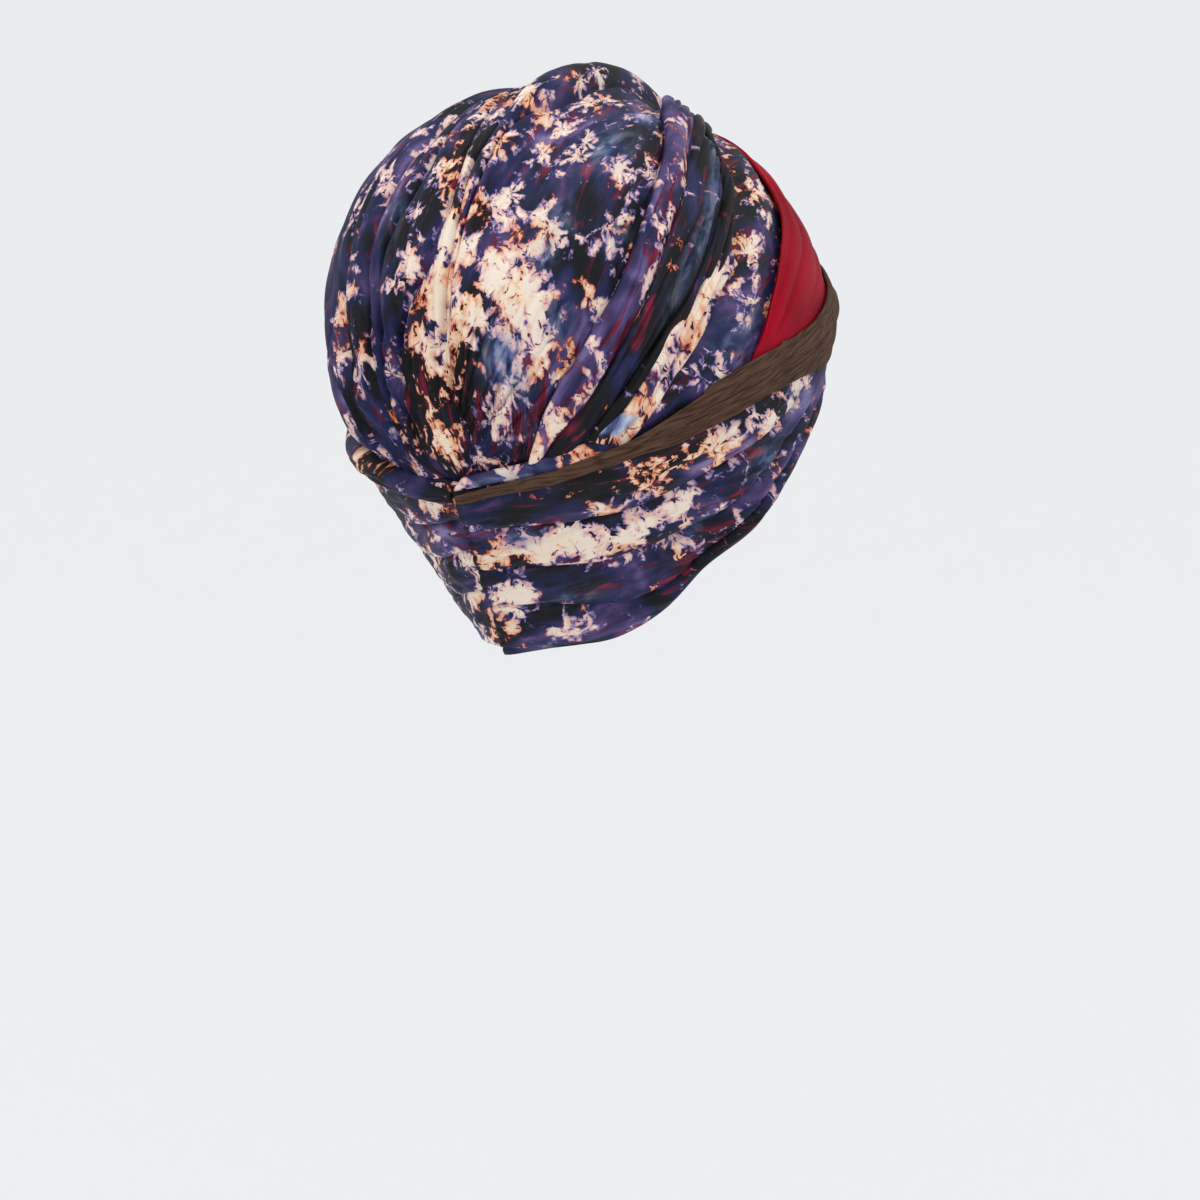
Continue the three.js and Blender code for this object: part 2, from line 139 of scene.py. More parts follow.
def crown_form(angle, rise):
    """Point and normal of the crown, by angle round and rise above the band line."""
    a, up = np.radians(angle), np.radians(rise / RISE_PER_DEGREE)
    u = np.stack([-np.cos(up) * np.sin(a), np.cos(up) * np.cos(a), np.sin(up) + 0 * a], -1)
    w = u / ((np.abs(u) ** CROWN_ROUNDNESS).sum(-1, keepdims=True)) ** (1 / CROWN_ROUNDNESS)
    fill = ease(np.degrees(np.arcsin(np.clip(u[..., 2], -1, 1))) / CROWN_FILL_ANGLE)
    left, right = mix(BAND_HALF_LEFT, CROWN_HALF_LEFT, fill), mix(BAND_HALF_RIGHT, CROWN_HALF_RIGHT, fill)
    back, front = mix(BAND_HALF_BACK, CROWN_HALF_BACK, fill), mix(BAND_HALF_FRONT, CROWN_HALF_FRONT, fill)
    half_width = np.where(w[..., 0] > 0, left, right)
    half_length = np.where(w[..., 1] > 0, back, front)
    lean = np.maximum(w[..., 2], 0)
    point = (
        (w[..., 0] * half_width + CROWN_LEAN_LEFT * lean)[..., None] * SIDE
        + (w[..., 1] * half_length + CROWN_LEAN_BACK * lean)[..., None] * ALONG
        + (w[..., 2] * CROWN_RISE)[..., None] * RISING
    )
    normal = (
        (w[..., 0] / half_width)[..., None] * SIDE
        + (w[..., 1] / half_length)[..., None] * ALONG
        + (w[..., 2] / CROWN_RISE)[..., None] * RISING
    )
    return point, unit(normal)


def hem(angle):
    """Lower edge of the nape band, shifted round by SEAM_TWIST at the seam."""
    turned = (np.asarray(angle, float) + 180) % 360 - 180
    a = turned - SEAM_TWIST * (1 - ease(np.abs(turned) / 40))
    side = np.where(a < 0, 1, -1)
    return np.stack([
        side * HEM_HALF_WIDTH * read(HEM, np.abs(a), 1),
        HEM_REACH * read(HEM, np.abs(a), 2),
        NAPE_DROP * read(HEM, np.abs(a), 3),
    ], -1)


def nape_length(angle):
    top = crown_form(angle, 0 * angle)[0]
    return np.linalg.norm(top - hem(angle), axis=-1)


def nape_form(angle, drop):
    """Point and normal of the nape band, by angle round and drop below the band line."""
    top, bottom = crown_form(angle, 0 * angle)[0], hem(angle)
    length = np.linalg.norm(top - bottom, axis=-1)
    share = np.clip(drop / length, 0, 1)[..., None]
    before = mix(crown_form(angle - 1, 0 * angle)[0], hem(angle - 1), share)
    after = mix(crown_form(angle + 1, 0 * angle)[0], hem(angle + 1), share)
    normal = unit(np.cross(after - before, top - bottom))
    return mix(top, bottom, (drop / length)[..., None]), normal


def place(angle, rise, lift):
    """The wrap's one surface: angle round from the back, rise over the band line, lift off it."""
    angle, rise, lift = np.broadcast_arrays(
        np.asarray(angle, float), np.asarray(rise, float), np.asarray(lift, float)
    )
    crown_point, crown_normal = crown_form(angle, np.maximum(rise, 0))
    nape_point, nape_normal = nape_form(angle, np.maximum(-rise, 0))
    point = np.where((rise >= 0)[..., None], crown_point, nape_point)
    normal = unit(mix(nape_normal, crown_normal, ease((rise + 8) / 16)[..., None]))
    return point + normal * lift[..., None]


def from_gather(reach, turn):
    """Angle and rise of a place given by reach from the back gather and turn over the top."""
    r, t = np.radians(reach), np.radians(turn)
    x, y, n = np.sin(r) * np.cos(t), np.cos(r) + 0 * t, np.sin(r) * np.sin(t)
    angle = np.degrees(np.arctan2(-x, y))
    return angle, np.maximum(np.degrees(np.arcsin(np.clip(n, -1, 1))), 0) * RISE_PER_DEGREE


def waves(u, v, seed):
    """Soft uneven ripples, one value between -1 and 1 for each pair."""
    u, v = np.broadcast_arrays(u, v)
    flat = [noise.noise(Vector((a, b, seed))) for a, b in zip(u.ravel().tolist(), v.ravel().tolist())]
    return np.array(flat).reshape(u.shape)


def pinches(u, v, seed, width=0.13):
    """Narrow creases with broad rounds between them, 1 in the crease and 0 away from it."""
    return np.exp(-((waves(u, v, seed) / width) ** 2))


def fold(t, ridge=0.5, full=0.75):
    """Section of a fold from crease to crease, 0 to 1 high: ridge is its ridge's place, and
    a smaller full makes its flanks steeper."""
    skewed = np.clip(t, 0, 1) ** (math.log(0.5) / math.log(ridge))
    return (1 - np.abs(2 * skewed - 1) ** 2.4) ** full


def steps(count):
    """Steps from 0 to 1 without the 0, closer together towards both ends."""
    t = np.linspace(0, 1, count + 1)[1:]
    return mix(t, (1 - np.cos(t * math.pi)) / 2, 0.6)


def tone(spots, kind, along, across, along_mm, across_mm):
    """Strength of one tone of the print, summed over its broad spots; on the nape band a few spots are
    painted shade at the seam instead.
    """
    total = 0 * (along + across)
    for row in spots:
        if row[4] == kind:
            du = (along - row[0]) * along_mm / row[2]
            dv = (across - row[1]) * across_mm / row[3]
            total = total + row[5] * np.exp(-0.7 * (du * du + dv * dv))
    return np.clip(total, -1.3, 1.5)


# Tones of the print. The bleach and purple tones also paint shade along the nape seam, and the wash tone
# paints a sheen highlight along the side drape's middle pleat.
TONE_KINDS = ("bleach_and_shade", "purple_and_shade", "wine", "rust", "wash_and_sheen")


def cloth(name, points, uv, flat_uv, tones, wall, closed=False):
    """A piece of cloth from a grid of points in mm, its two UV maps in mm and its print tones, which also
    carry painted seam shade and a painted sheen.
    """
    rows, columns = points.shape[:2]
    bm = bmesh.new()
    bmesh.ops.create_grid(bm, x_segments=columns - 1, y_segments=rows - 1, size=1)
    bm.verts.index_update()
    spots = np.array([v.co for v in bm.verts])
    c = np.rint((spots[:, 0] + 1) / 2 * (columns - 1)).astype(int)
    r = np.rint((spots[:, 1] + 1) / 2 * (rows - 1)).astype(int)
    tone_layers = [(bm.verts.layers.float.new(key), value) for key, value in tones.items()]
    uv_layers = [(bm.loops.layers.uv.new("cloth_mm"), uv), (bm.loops.layers.uv.new("print_mm"), flat_uv)]
    for v, i, j in zip(bm.verts, r, c):
        v.co = Vector(points[i, j]) / 1000
        for layer, value in tone_layers:
            v[layer] = float(value[i, j])
    for f in bm.faces:
        f.smooth = True
        for loop in f.loops:
            k = loop.vert.index
            for layer, value in uv_layers:
                loop[layer].uv = value[r[k], c[k]]
    if closed:
        bmesh.ops.remove_doubles(bm, verts=bm.verts, dist=1e-6)
    bm.normal_update()
    middle = Vector((0, 0, 0.02))
    outward = sum(f.normal.dot(f.calc_center_median() - middle) > 0 for f in bm.faces)
    if outward < len(bm.faces) / 2:
        bmesh.ops.reverse_faces(bm, faces=bm.faces)
    mesh = bpy.data.meshes.new(name)
    bm.to_mesh(mesh)
    bm.free()
    piece = bpy.data.objects.new(name, mesh)
    bpy.context.scene.collection.objects.link(piece)
    solid = piece.modifiers.new("wall", "SOLIDIFY")
    solid.thickness = wall / 1000
    solid.offset = -1
    return piece


# Creases between the crown's folds, from the wearer's left to the right.
# Columns: reach from the gather, turn over the top
CREASES = [
    [[0, 0], [12, 4], [20, 13], [26, 21], [29, 31.5], [32, 42], [39, 49.5], [48, 56], [58, 59],
     [67, 62], [78, 66], [100, 70], [180, 72]],
    [[0, 6], [8, 14], [14, 32], [19, 46], [25, 55.5], [31, 60], [39, 65.5], [46, 66.5], [52, 69],
     [60, 70.5], [68, 73], [77, 77], [95, 79], [180, 80]],
    [[0, 10], [6, 18], [12, 38], [18, 54], [25, 64], [32, 71], [38, 72.5], [46, 75], [51, 77.5],
     [56, 81], [62, 83], [71, 84], [80, 83.5], [92, 83.5], [180, 84]],
    [[0, 14], [5, 21], [10, 42], [15, 58], [22, 71], [27, 77], [32, 82], [38, 89], [43, 94],
     [50, 95.5], [58, 96], [72, 93.3], [82, 91.3], [89, 89.5], [105, 88], [180, 88]],
    [[0, 150], [4, 148], [8, 138], [12, 128], [16, 115.5], [22, 108], [26, 105], [36, 102],
     [48, 101], [56, 100], [64, 98.7], [74, 99], [80, 98.5], [96, 94.5], [110, 93], [180, 93]],
    [[0, 156], [8, 143], [12, 132], [22, 111.5], [36, 104.5], [50, 103.5], [62, 103], [72, 102.5],
     [81, 103.5], [88, 106.5], [98, 107.5], [108, 107], [180, 106]],
]
# Edges of the side drape, which the crown runs under
DRAPE_LEFT = [
    [0, 178], [18, 176], [22, 167], [28, 158], [36, 152.5], [44, 150], [51, 148], [59, 145.5],
    [66, 143], [75, 139.5], [82, 137], [96, 131], [118, 118], [135, 110], [180, 106],
]
DRAPE_RIGHT = [
    [0, 178], [30, 177], [38, 172.5], [46, 168], [58, 163], [64, 161.5], [72, 160], [79, 158.5],
    [82, 157.5], [88, 155], [96, 150.5], [106, 144], [112, 136.5], [120, 132], [140, 128], [180, 126],
]
# Columns: angle, upper edge of the red sash above the band line, mm
RED_EDGE = [
    [70, 3], [77, 11.3], [85, 20], [94, 29.5], [105, 38.5], [119, 46.5], [127, 55], [132, 62],
    [139, 65], [148, 67], [165, 71], [180, 74], [200, 74], [220, 66], [240, 37.7], [250, 16.4],
]
# Folds between those creases. The first two lie left of the first crease, and the last one
# is the smooth panel that runs in under the side drape.
# Columns: mesh columns, place of the ridge, height near the gather and at the top, mm
FOLDS = [
    [14, 0.5, 0.6, 0.3], [22, 0.55, 1.6, 0.4], [24, 0.45, 2.2, 1.0], [26, 0.6, 2.6, 1.2],
    [26, 0.35, 2.8, 1.8], [26, 0.5, 2.2, 1.4], [16, 0.5, 0.4, 2.9], [104, 0.25, 1.0, 0.0],
]
# How far the tightly drawn folds lie in from the form, away from the gather.
# Columns: turn over the top, mm
DRAWN_IN = [
    [0, 9.5], [15, 7], [30, 3.5], [60, 2.5], [75, 4.5], [88, 4.5], [95, 2], [100.5, -1.5],
    [104, -1.0], [110, 6], [118, 4.5], [127, 0.5], [180, 0],
]

# Broad spots of the print's tones on the crown.
# Columns: reach, turn, half length and half width in mm, tone, strength
CROWN_SPOTS = [
    [58, 116, 10, 8, "bleach_and_shade", 0.9], [56, 126, 8, 7, "bleach_and_shade", 0.8], [46, 120, 11, 9, "bleach_and_shade", 0.9],
    [44, 131, 10, 9, "bleach_and_shade", 0.6], [38, 133, 12, 9, "bleach_and_shade", 0.9], [49, 107, 9, 7, "bleach_and_shade", 0.7],
    [47, 98.5, 22, 5.5, "bleach_and_shade", 1.5], [34, 102, 20, 5, "bleach_and_shade", 1.1], [35, 111, 12, 6, "bleach_and_shade", 0.8],
    [32, 87, 10, 6, "bleach_and_shade", 0.8], [42, 89, 7, 5, "bleach_and_shade", 0.6], [87, 96, 11, 4, "bleach_and_shade", 1.4],
    [84, 108, 6, 5, "bleach_and_shade", 0.5], [86, 113, 6, 4, "bleach_and_shade", 0.45], [74, 137, 6, 5, "bleach_and_shade", 0.9],
    [66, 142, 9, 3.5, "bleach_and_shade", 0.8], [30, 166, 8, 6, "bleach_and_shade", 0.7], [16, 164, 4, 3, "bleach_and_shade", 0.6],
    [66, 94, 6, 5, "bleach_and_shade", 0.6], [50, 73, 5, 4, "bleach_and_shade", 0.4], [54, 137, 7, 6, "bleach_and_shade", 0.35],
    [39, 142, 7, 6, "bleach_and_shade", 0.35], [46, 55, 6, 4, "bleach_and_shade", 0.3], [26, 40, 10, 3, "bleach_and_shade", 0.4],
    [106, 100, 14, 5, "bleach_and_shade", -1.2], [46, 82, 14, 8, "bleach_and_shade", -1.0], [56, 92, 10, 6, "bleach_and_shade", -0.8],
    [60, 139, 12, 8, "bleach_and_shade", -0.5], [70, 130, 14, 9, "bleach_and_shade", -0.5], [18, 76, 14, 7, "bleach_and_shade", -0.5],
    [20, 119, 14, 5, "bleach_and_shade", -0.6], [30, 68, 14, 5, "bleach_and_shade", -0.6], [54, 56, 14, 6, "bleach_and_shade", -0.6],
    [68, 124, 10, 8, "bleach_and_shade", -0.4], [112, 147, 16, 8, "bleach_and_shade", 0.5], [88, 163, 12, 6, "bleach_and_shade", 0.3],
    [74, 172, 14, 8, "bleach_and_shade", -0.4], [84, 161, 8, 3, "bleach_and_shade", 0.6], [28, 174, 8, 5, "bleach_and_shade", 0.3],
    [75, 30, 70, 40, "bleach_and_shade", -0.35], [114, 101, 22, 6, "bleach_and_shade", -1.0], [118, 120, 22, 14, "bleach_and_shade", -0.35],
    [64, 108, 10, 5, "bleach_and_shade", -0.3], [90, 122, 14, 9, "bleach_and_shade", -0.3],
    [106, 100, 14, 5, "purple_and_shade", -1.0], [46, 82, 14, 9, "purple_and_shade", -0.9], [58, 92, 10, 7, "purple_and_shade", -0.6],
    [70, 132, 14, 9, "purple_and_shade", -0.1], [85, 110, 12, 9, "purple_and_shade", 1.0], [86, 88, 8, 4, "purple_and_shade", 0.8],
    [58, 74, 20, 5, "purple_and_shade", 0.9], [46, 72, 14, 5, "purple_and_shade", 0.7], [58, 59, 14, 5, "purple_and_shade", -0.6],
    [96, 112, 10, 6, "purple_and_shade", 0.7], [12, 112, 14, 9, "purple_and_shade", -1.0], [20, 83, 14, 8, "purple_and_shade", -0.9],
    [59, 140, 10, 8, "purple_and_shade", -0.5], [76, 106, 8, 7, "purple_and_shade", 0.5], [100, 122, 6, 4, "purple_and_shade", 1.1],
    [28, 146, 10, 8, "purple_and_shade", 0.6], [40, 147, 9, 6, "purple_and_shade", 0.4], [29, 66, 16, 5, "purple_and_shade", -0.4],
    [26, 18, 14, 5, "purple_and_shade", 0.5], [92, 166, 16, 8, "purple_and_shade", 0.6], [74, 174, 14, 7, "purple_and_shade", 0.3],
    [70, 40, 40, 30, "purple_and_shade", -0.2], [104, 150, 12, 7, "purple_and_shade", -0.6], [100, 87, 20, 9, "purple_and_shade", 0.6],
    [76, 62, 18, 7, "purple_and_shade", 0.8],
    [88, 112, 11, 2.4, "wine", 1.1], [74, 124, 7, 2.8, "wine", 1.0], [78, 132, 9, 4, "wine", 1.1],
    [64, 136, 10, 4, "wine", 0.7], [17, 130, 12, 3, "wine", 1.3], [22, 147, 6, 5, "wine", 1.0],
    [29, 154, 12, 3.5, "wine", 1.2], [8, 164, 6, 4, "wine", 0.9], [40, 106, 12, 2, "wine", 0.7],
    [67, 76, 12, 2.5, "wine", 0.9], [47, 67, 12, 2.5, "wine", 0.7], [50, 149, 10, 3, "wine", 0.8],
    [70, 116, 8, 4, "wine", 0.5], [45, 51, 10, 3, "wine", 0.7], [54, 101, 8, 3, "wine", 0.6],
    [96, 163, 14, 2.5, "wine", 0.9],
    [10, 87, 11, 7, "rust", 1.3], [20, 112, 12, 6, "rust", 1.1], [20, 88, 10, 6, "rust", 1.0],
    [68, 91, 9, 6, "rust", 1.0], [56, 106, 7, 4, "rust", 0.8], [32, 110, 12, 3, "rust", 0.8],
    [38, 114, 8, 3, "rust", 0.6], [39, 83, 9, 5, "rust", 0.5], [12, 56, 10, 5, "rust", 0.7],
    [46, 109, 5, 4, "rust", 0.5], [40, 100, 20, 4, "rust", 0.4], [108, 150, 14, 7, "rust", 0.9],
    [32, 130, 8, 5, "wash_and_sheen", 0.9], [54, 127, 6, 4, "wash_and_sheen", 0.5], [30, 140, 6, 5, "wash_and_sheen", 0.6],
    [68, 138, 5, 3, "wash_and_sheen", 0.6], [62, 126, 6, 5, "wash_and_sheen", 0.3], [54, 79, 12, 3, "wash_and_sheen", 0.35],
    [46, 140, 7, 5, "wash_and_sheen", 0.4], [102, 123, 6, 4, "wash_and_sheen", 0.6], [26, 162, 5, 4, "wash_and_sheen", 0.3],
    [78, 168, 12, 5, "wash_and_sheen", 0.4], [84, 124, 12, 7, "wash_and_sheen", 0.45],
]


def red_edge(angle):
    """Upper edge of the red sash over the band line, falling to nothing past its ends."""
    a = np.where(angle < 0, angle + 360, angle)
    past = np.maximum(np.maximum(RED_EDGE[0][0] - a, a - RED_EDGE[-1][0]), 0)
    return read(RED_EDGE, a, 1) * (1 - ease(past / 8))


# Folds side by side, each from its crease to the next
rows = np.concatenate([[0, 1.5, 3], np.linspace(5, 124, 100), np.linspace(127, 180, 18)])
reach = rows[:, None]
turns = [0 * rows, 0.5 * read(CREASES[0], rows, 1)]
for crease in CREASES + [DRAPE_LEFT]:
    turns.append(np.maximum(read(crease, rows, 1), turns[-1] + 1.2))
converging = np.minimum(1, np.sin(np.radians(reach)) / math.sin(math.radians(30)))
at_top = ease((reach - 45) / 40)
columns, heights, layers = [turns[0][:, None]], [0 * reach - FOLD_DEPTH], [0 * reach]
middles = [turns[0][:, None]]
for k, (count, ridge, low, high) in enumerate(FOLDS):
    t = steps(count)[None, :]
    wide = (turns[k + 1] - turns[k])[:, None]
    tall = (FOLD_DEPTH + mix(low, high, at_top)) * converging * np.minimum(1, (wide + 2) / 12)
    columns.append(turns[k][:, None] + wide * t)
    heights.append(tall * fold(t, ridge) - FOLD_DEPTH)
    layers.append(0 * reach + k + 1 + 0 * t)
    middles.append(turns[k][:, None] + wide / 2 + 0 * t)
# Smooth cloth from the drape to the wearer's right
t = np.linspace(0, 1, 27)[None, 1:]
columns.append(turns[-1][:, None] + (180 - turns[-1][:, None]) * t)
heights.append(0 * reach - FOLD_DEPTH + 0 * t)
layers.append(0 * reach + len(FOLDS) + 1 + 0 * t)
middles.append(0 * reach + 155 + 0 * t)
turn, height, layer, middle = (np.concatenate(x, 1) for x in (columns, heights, layers, middles))

# Ripples along the folds, creases that draw together at the gather, and long fine creases
reach = reach + 0 * turn
turn_mm = TURN_PER_DEGREE * np.sin(np.radians(reach))
across_mm = (turn - middle) * turn_mm + 50 * layer
left_side = 1 - 0.6 * ease((turn - 98) / 8)
height = height + converging * (
    0.5 * waves(across_mm / 5.5, reach / 16, 3.1) + 0.3 * waves(across_mm / 2.6 + 40, reach / 9, 8.2)
)
gathers = pinches(turn / 5.0, reach / 34, 5.3) * ease((62 - reach) / 34) * ease((reach - 4) / 16)
fine_gathers = pinches(turn / 2.4, reach / 26, 17.3) * ease((44 - reach) / 24) * ease((reach - 5) / 12)
height = height - (2.2 * gathers + 1.0 * fine_gathers) * mix(1, left_side, ease((reach - 25) / 20))
drawn = pinches(across_mm / 9.0, reach / 30, 12.4) * ease((reach - 20) / 30)
height = height - 0.9 * drawn * left_side
height = height - read(DRAWN_IN, turn, 1) * ease((reach - 38) / 30) * (1 - ease((reach - 120) / 40))

# Flat under the drape, the red sash and the nape band
angle, rise = from_gather(reach, turn)
bare = ease((rise - red_edge(angle) - 2.5) / 9)
beside = ease((read(DRAPE_LEFT, reach, 1) - turn) / 3 + 1)
past_drape = 3.0 * ease((turn - read(DRAPE_RIGHT, reach, 1) - 1) / 7)
past_drape = past_drape + 0.5 * waves(across_mm / 7, reach / 20, 6.6) * np.minimum(1, past_drape)
height = mix(-FOLD_DEPTH + past_drape, height, beside)
height = mix(-FOLD_DEPTH, height, bare)
height = mix(-TUCK_INSET, height, ease((rise - 2) / 12))
body = place(angle, rise, height)
lip_left = place(angle[:, :1], -TUCK_LENGTH, -TUCK_INSET)
lip_right = place(angle[:, -1:], -TUCK_LENGTH, -TUCK_INSET)
points = np.concatenate([lip_left, body, lip_right], 1)

# The print fans out from the gather and jumps at each crease
along_mm = reach * RISE_PER_DEGREE
round_gather = np.radians(turn + 9 * layer)
cloth_mm = np.stack([along_mm, across_mm], -1)
print_mm = np.stack([along_mm * np.cos(round_gather), along_mm * np.sin(round_gather)], -1)
lip = [0, TUCK_LENGTH]
cloth_mm = np.concatenate([cloth_mm[:, :1] - lip, cloth_mm, cloth_mm[:, -1:] + lip], 1)
print_mm = np.concatenate([print_mm[:, :1] - lip, print_mm, print_mm[:, -1:] - lip], 1)
tones = {}
for kind in TONE_KINDS:
    strength = tone(CROWN_SPOTS, kind, reach, turn, RISE_PER_DEGREE, turn_mm)
    tones[kind] = np.pad(strength, ((0, 0), (1, 1)), mode="edge")
crown = cloth("crown_jersey", points, cloth_mm, print_mm, tones, wall=1.4, closed=True)


def linear(code):
    """An sRGB hex colour as linear RGBA."""
    parts = [int(code[i:i + 2], 16) / 255 for i in (1, 3, 5)]
    return tuple(p / 12.92 if p <= 0.04045 else ((p + 0.055) / 1.055) ** 2.4 for p in parts) + (1,)


def add_node(tree, kind, inputs={}, out=0, stops=(), **settings):
    """One node with its settings, inputs by name or number, and colour stops; gives back one
    of its outputs."""
    made = tree.nodes.new("ShaderNode" + kind)
    for key, value in settings.items():
        setattr(made, key, value)
    for key, value in inputs.items():
        if isinstance(value, bpy.types.NodeSocket):
            tree.links.new(value, made.inputs[key])
        else:
            made.inputs[key].default_value = value
    for k, (spot, code) in enumerate(stops):
        elements = made.color_ramp.elements
        element = elements[k] if k < 2 else elements.new(spot)
        element.position, element.color = spot, linear(code)
    return None if out is None else made.outputs[out]


def start_material(name):
    """An empty material and the add_node that fills it."""
    material = bpy.data.materials.new(name)
    material.use_nodes = True
    material.node_tree.nodes.clear()
    return material, partial(add_node, material.node_tree)


# Bleached and dip-dyed jersey: a matte knit whose dyes run into each other, with bleached
# flowers in cream and pink on navy, purple and near black. The big flowers are 20 to 30 mm
# across, the small ones about 12 mm, and the knit is drawn 0.6 mm wide so that it shows.
print_jersey, node = start_material("bleached_print_jersey")
cloth_uv = node("UVMap", uv_map="cloth_mm")
print_uv = node("UVMap", uv_map="print_mm")


def blotches(at, size, detail=2.0, rough=0.5, distort=0.0, stretch=1.0, out=0):
    """Cloudy blotches of a size in mm, drawn out along the folds where stretch is below 1.

    As in the functions below, node adds to the material that was started last."""
    drawn_out = node("Mapping", {0: at, 3: (stretch, 1, 1)})
    return node("TexNoise", {
        0: drawn_out, "Scale": 1 / size, "Detail": detail, "Roughness": rough, "Distortion": distort,
    }, out=out)


def pushed(at, amount, size):
    """The places in at, pushed about by up to amount mm."""
    push = node("VectorMath", {0: blotches(at, size, out=1), 1: (0.5, 0.5, 0.5)}, operation="SUBTRACT")
    push = node("VectorMath", {0: push, 1: (2 * amount, 2 * amount, 0)}, operation="MULTIPLY")
    return node("VectorMath", {0: at, 1: push}, operation="ADD")


def flowers(at, size, petals, slender):
    """How far inside a flower each place is, as a share of the flower's half width."""
    cell = node("TexVoronoi", {0: at, "Scale": 1 / size, "Randomness": 0.9}, voronoi_dimensions="2D").node
    away = node("VectorMath", {0: at, 1: cell.outputs["Position"]}, operation="SUBTRACT")
    far = node("VectorMath", {0: away}, out=1, operation="LENGTH")
    x = node("SeparateXYZ", {0: away})
    around = node("Math", {0: x.node.outputs[1], 1: x}, operation="ARCTAN2")
    chance = node("SeparateColor", {0: cell.outputs["Color"]})
    spun = node("Math", {0: chance, 1: 40.0}, operation="MULTIPLY")
    wave = node("Math", {0: around, 1: petals / 2, 2: spun}, operation="MULTIPLY_ADD")
    wave = node("Math", {0: node("Math", {0: wave}, operation="COSINE")}, operation="ABSOLUTE")
    wave = node("Math", {0: wave, 1: slender}, operation="POWER")
    half = node("Math", {0: chance.node.outputs[1], 1: 0.22 * size, 2: 0.36 * size}, operation="MULTIPLY_ADD")
    petal = node("Math", {0: wave, 1: 0.66, 2: 0.34}, operation="MULTIPLY_ADD")
    edge = node("Math", {0: half, 1: petal, 2: node("Math", {0: far, 1: -1.0}, operation="MULTIPLY")},
                operation="MULTIPLY_ADD")
    return node("Math", {0: edge, 1: 0.5 * size}, operation="DIVIDE")


tone_of = {kind: node("Attribute", out=2, attribute_name=kind) for kind in TONE_KINDS}

# Flowers, loose shards and torn edges of petals
loose = pushed(pushed(print_uv, 5.0, 12), 1.5, 3.5)
big_flowers = node("Math", {0: flowers(loose, 27, 8, 0.8), 1: -0.34}, operation="MAXIMUM")
shifted = node("Mapping", {0: pushed(print_uv, 2.2, 8), 1: (61.0, 37.0, 0.0), 2: (0.0, 0.0, 0.9)})
small_flowers = node("Math", {0: flowers(shifted, 12, 5, 1.0), 1: -0.2}, operation="MAXIMUM")
shards = blotches(loose, 11, 3.0, 0.55, 0.6)
ragged = blotches(cloth_uv, 3.4, 3.0, 0.6, 0.5, stretch=0.55)
holes = blotches(loose, 2.6, 1.0, 0.5, 0.8)
streaks = blotches(cloth_uv, 4.6, 2.5, 0.55, 0.8, stretch=0.18)
cloudy = blotches(cloth_uv, 22, 2.5, 0.55, 0.7, stretch=0.5)
wet = blotches(cloth_uv, 6.0, 3.0, 0.55, 0.6, stretch=0.45)

# How far the dye is bleached out: petals are above 0.5, with a halo just below it
level = node("Math", {0: big_flowers, 1: 0.46, 2: 0.25}, operation="MULTIPLY_ADD")
level = node("Math", {0: small_flowers, 1: 0.24, 2: level}, operation="MULTIPLY_ADD")
level = node("Math", {0: shards, 1: 1.8, 2: level}, operation="MULTIPLY_ADD")
level = node("Math", {0: ragged, 1: 0.85, 2: level}, operation="MULTIPLY_ADD")
level = node("Math", {0: tone_of["bleach_and_shade"], 1: 0.34, 2: level}, operation="MULTIPLY_ADD")
pecked = node("MapRange", {0: holes, 1: 0.32, 2: 0.40, 3: 0.34, 4: 0.0})
level = node("Math", {0: level, 1: pecked}, operation="SUBTRACT")
embers = node("MapRange", {0: ragged, 1: 0.50, 2: 0.60, 3: 0.0, 4: 0.36})
level = node("Math", {0: embers, 1: tone_of["rust"], 2: level}, operation="MULTIPLY_ADD")
level = node("Math", {0: level, 1: 1.28}, operation="SUBTRACT", use_clamp=True)

# Dyed ground from near black through navy to lilac, with wine-red streaks along the folds
dye = node("Math", {0: cloudy, 1: 1.6, 2: -0.47}, operation="MULTIPLY_ADD")
dye = node("Math", {0: wet, 1: 0.36, 2: dye}, operation="MULTIPLY_ADD")
dye = node("Math", {0: tone_of["purple_and_shade"], 1: 0.20, 2: dye}, operation="MULTIPLY_ADD")
dye = node("Math", {0: tone_of["rust"], 1: -0.16, 2: dye}, operation="MULTIPLY_ADD")
ground = node("ValToRGB", {0: dye}, stops=[
    (0.30, "#0B0C12"), (0.42, "#131526"), (0.51, "#1A214A"), (0.58, "#262752"), (0.66, "#403460"),
    (0.76, "#5E5084"), (0.90, "#8A7EAC"),
])
stained = node("Math", {0: tone_of["wine"], 1: 0.17, 2: streaks}, operation="MULTIPLY_ADD")
stained = node("MapRange", {0: stained, 1: 0.60, 2: 0.68})
wine = node("ValToRGB", {0: wet}, stops=[(0.34, "#3A0B20"), (0.50, "#65102B"), (0.66, "#8E1838")])
ground = node("Mix", {0: stained, 6: ground, 7: wine}, out=2, data_type="RGBA")

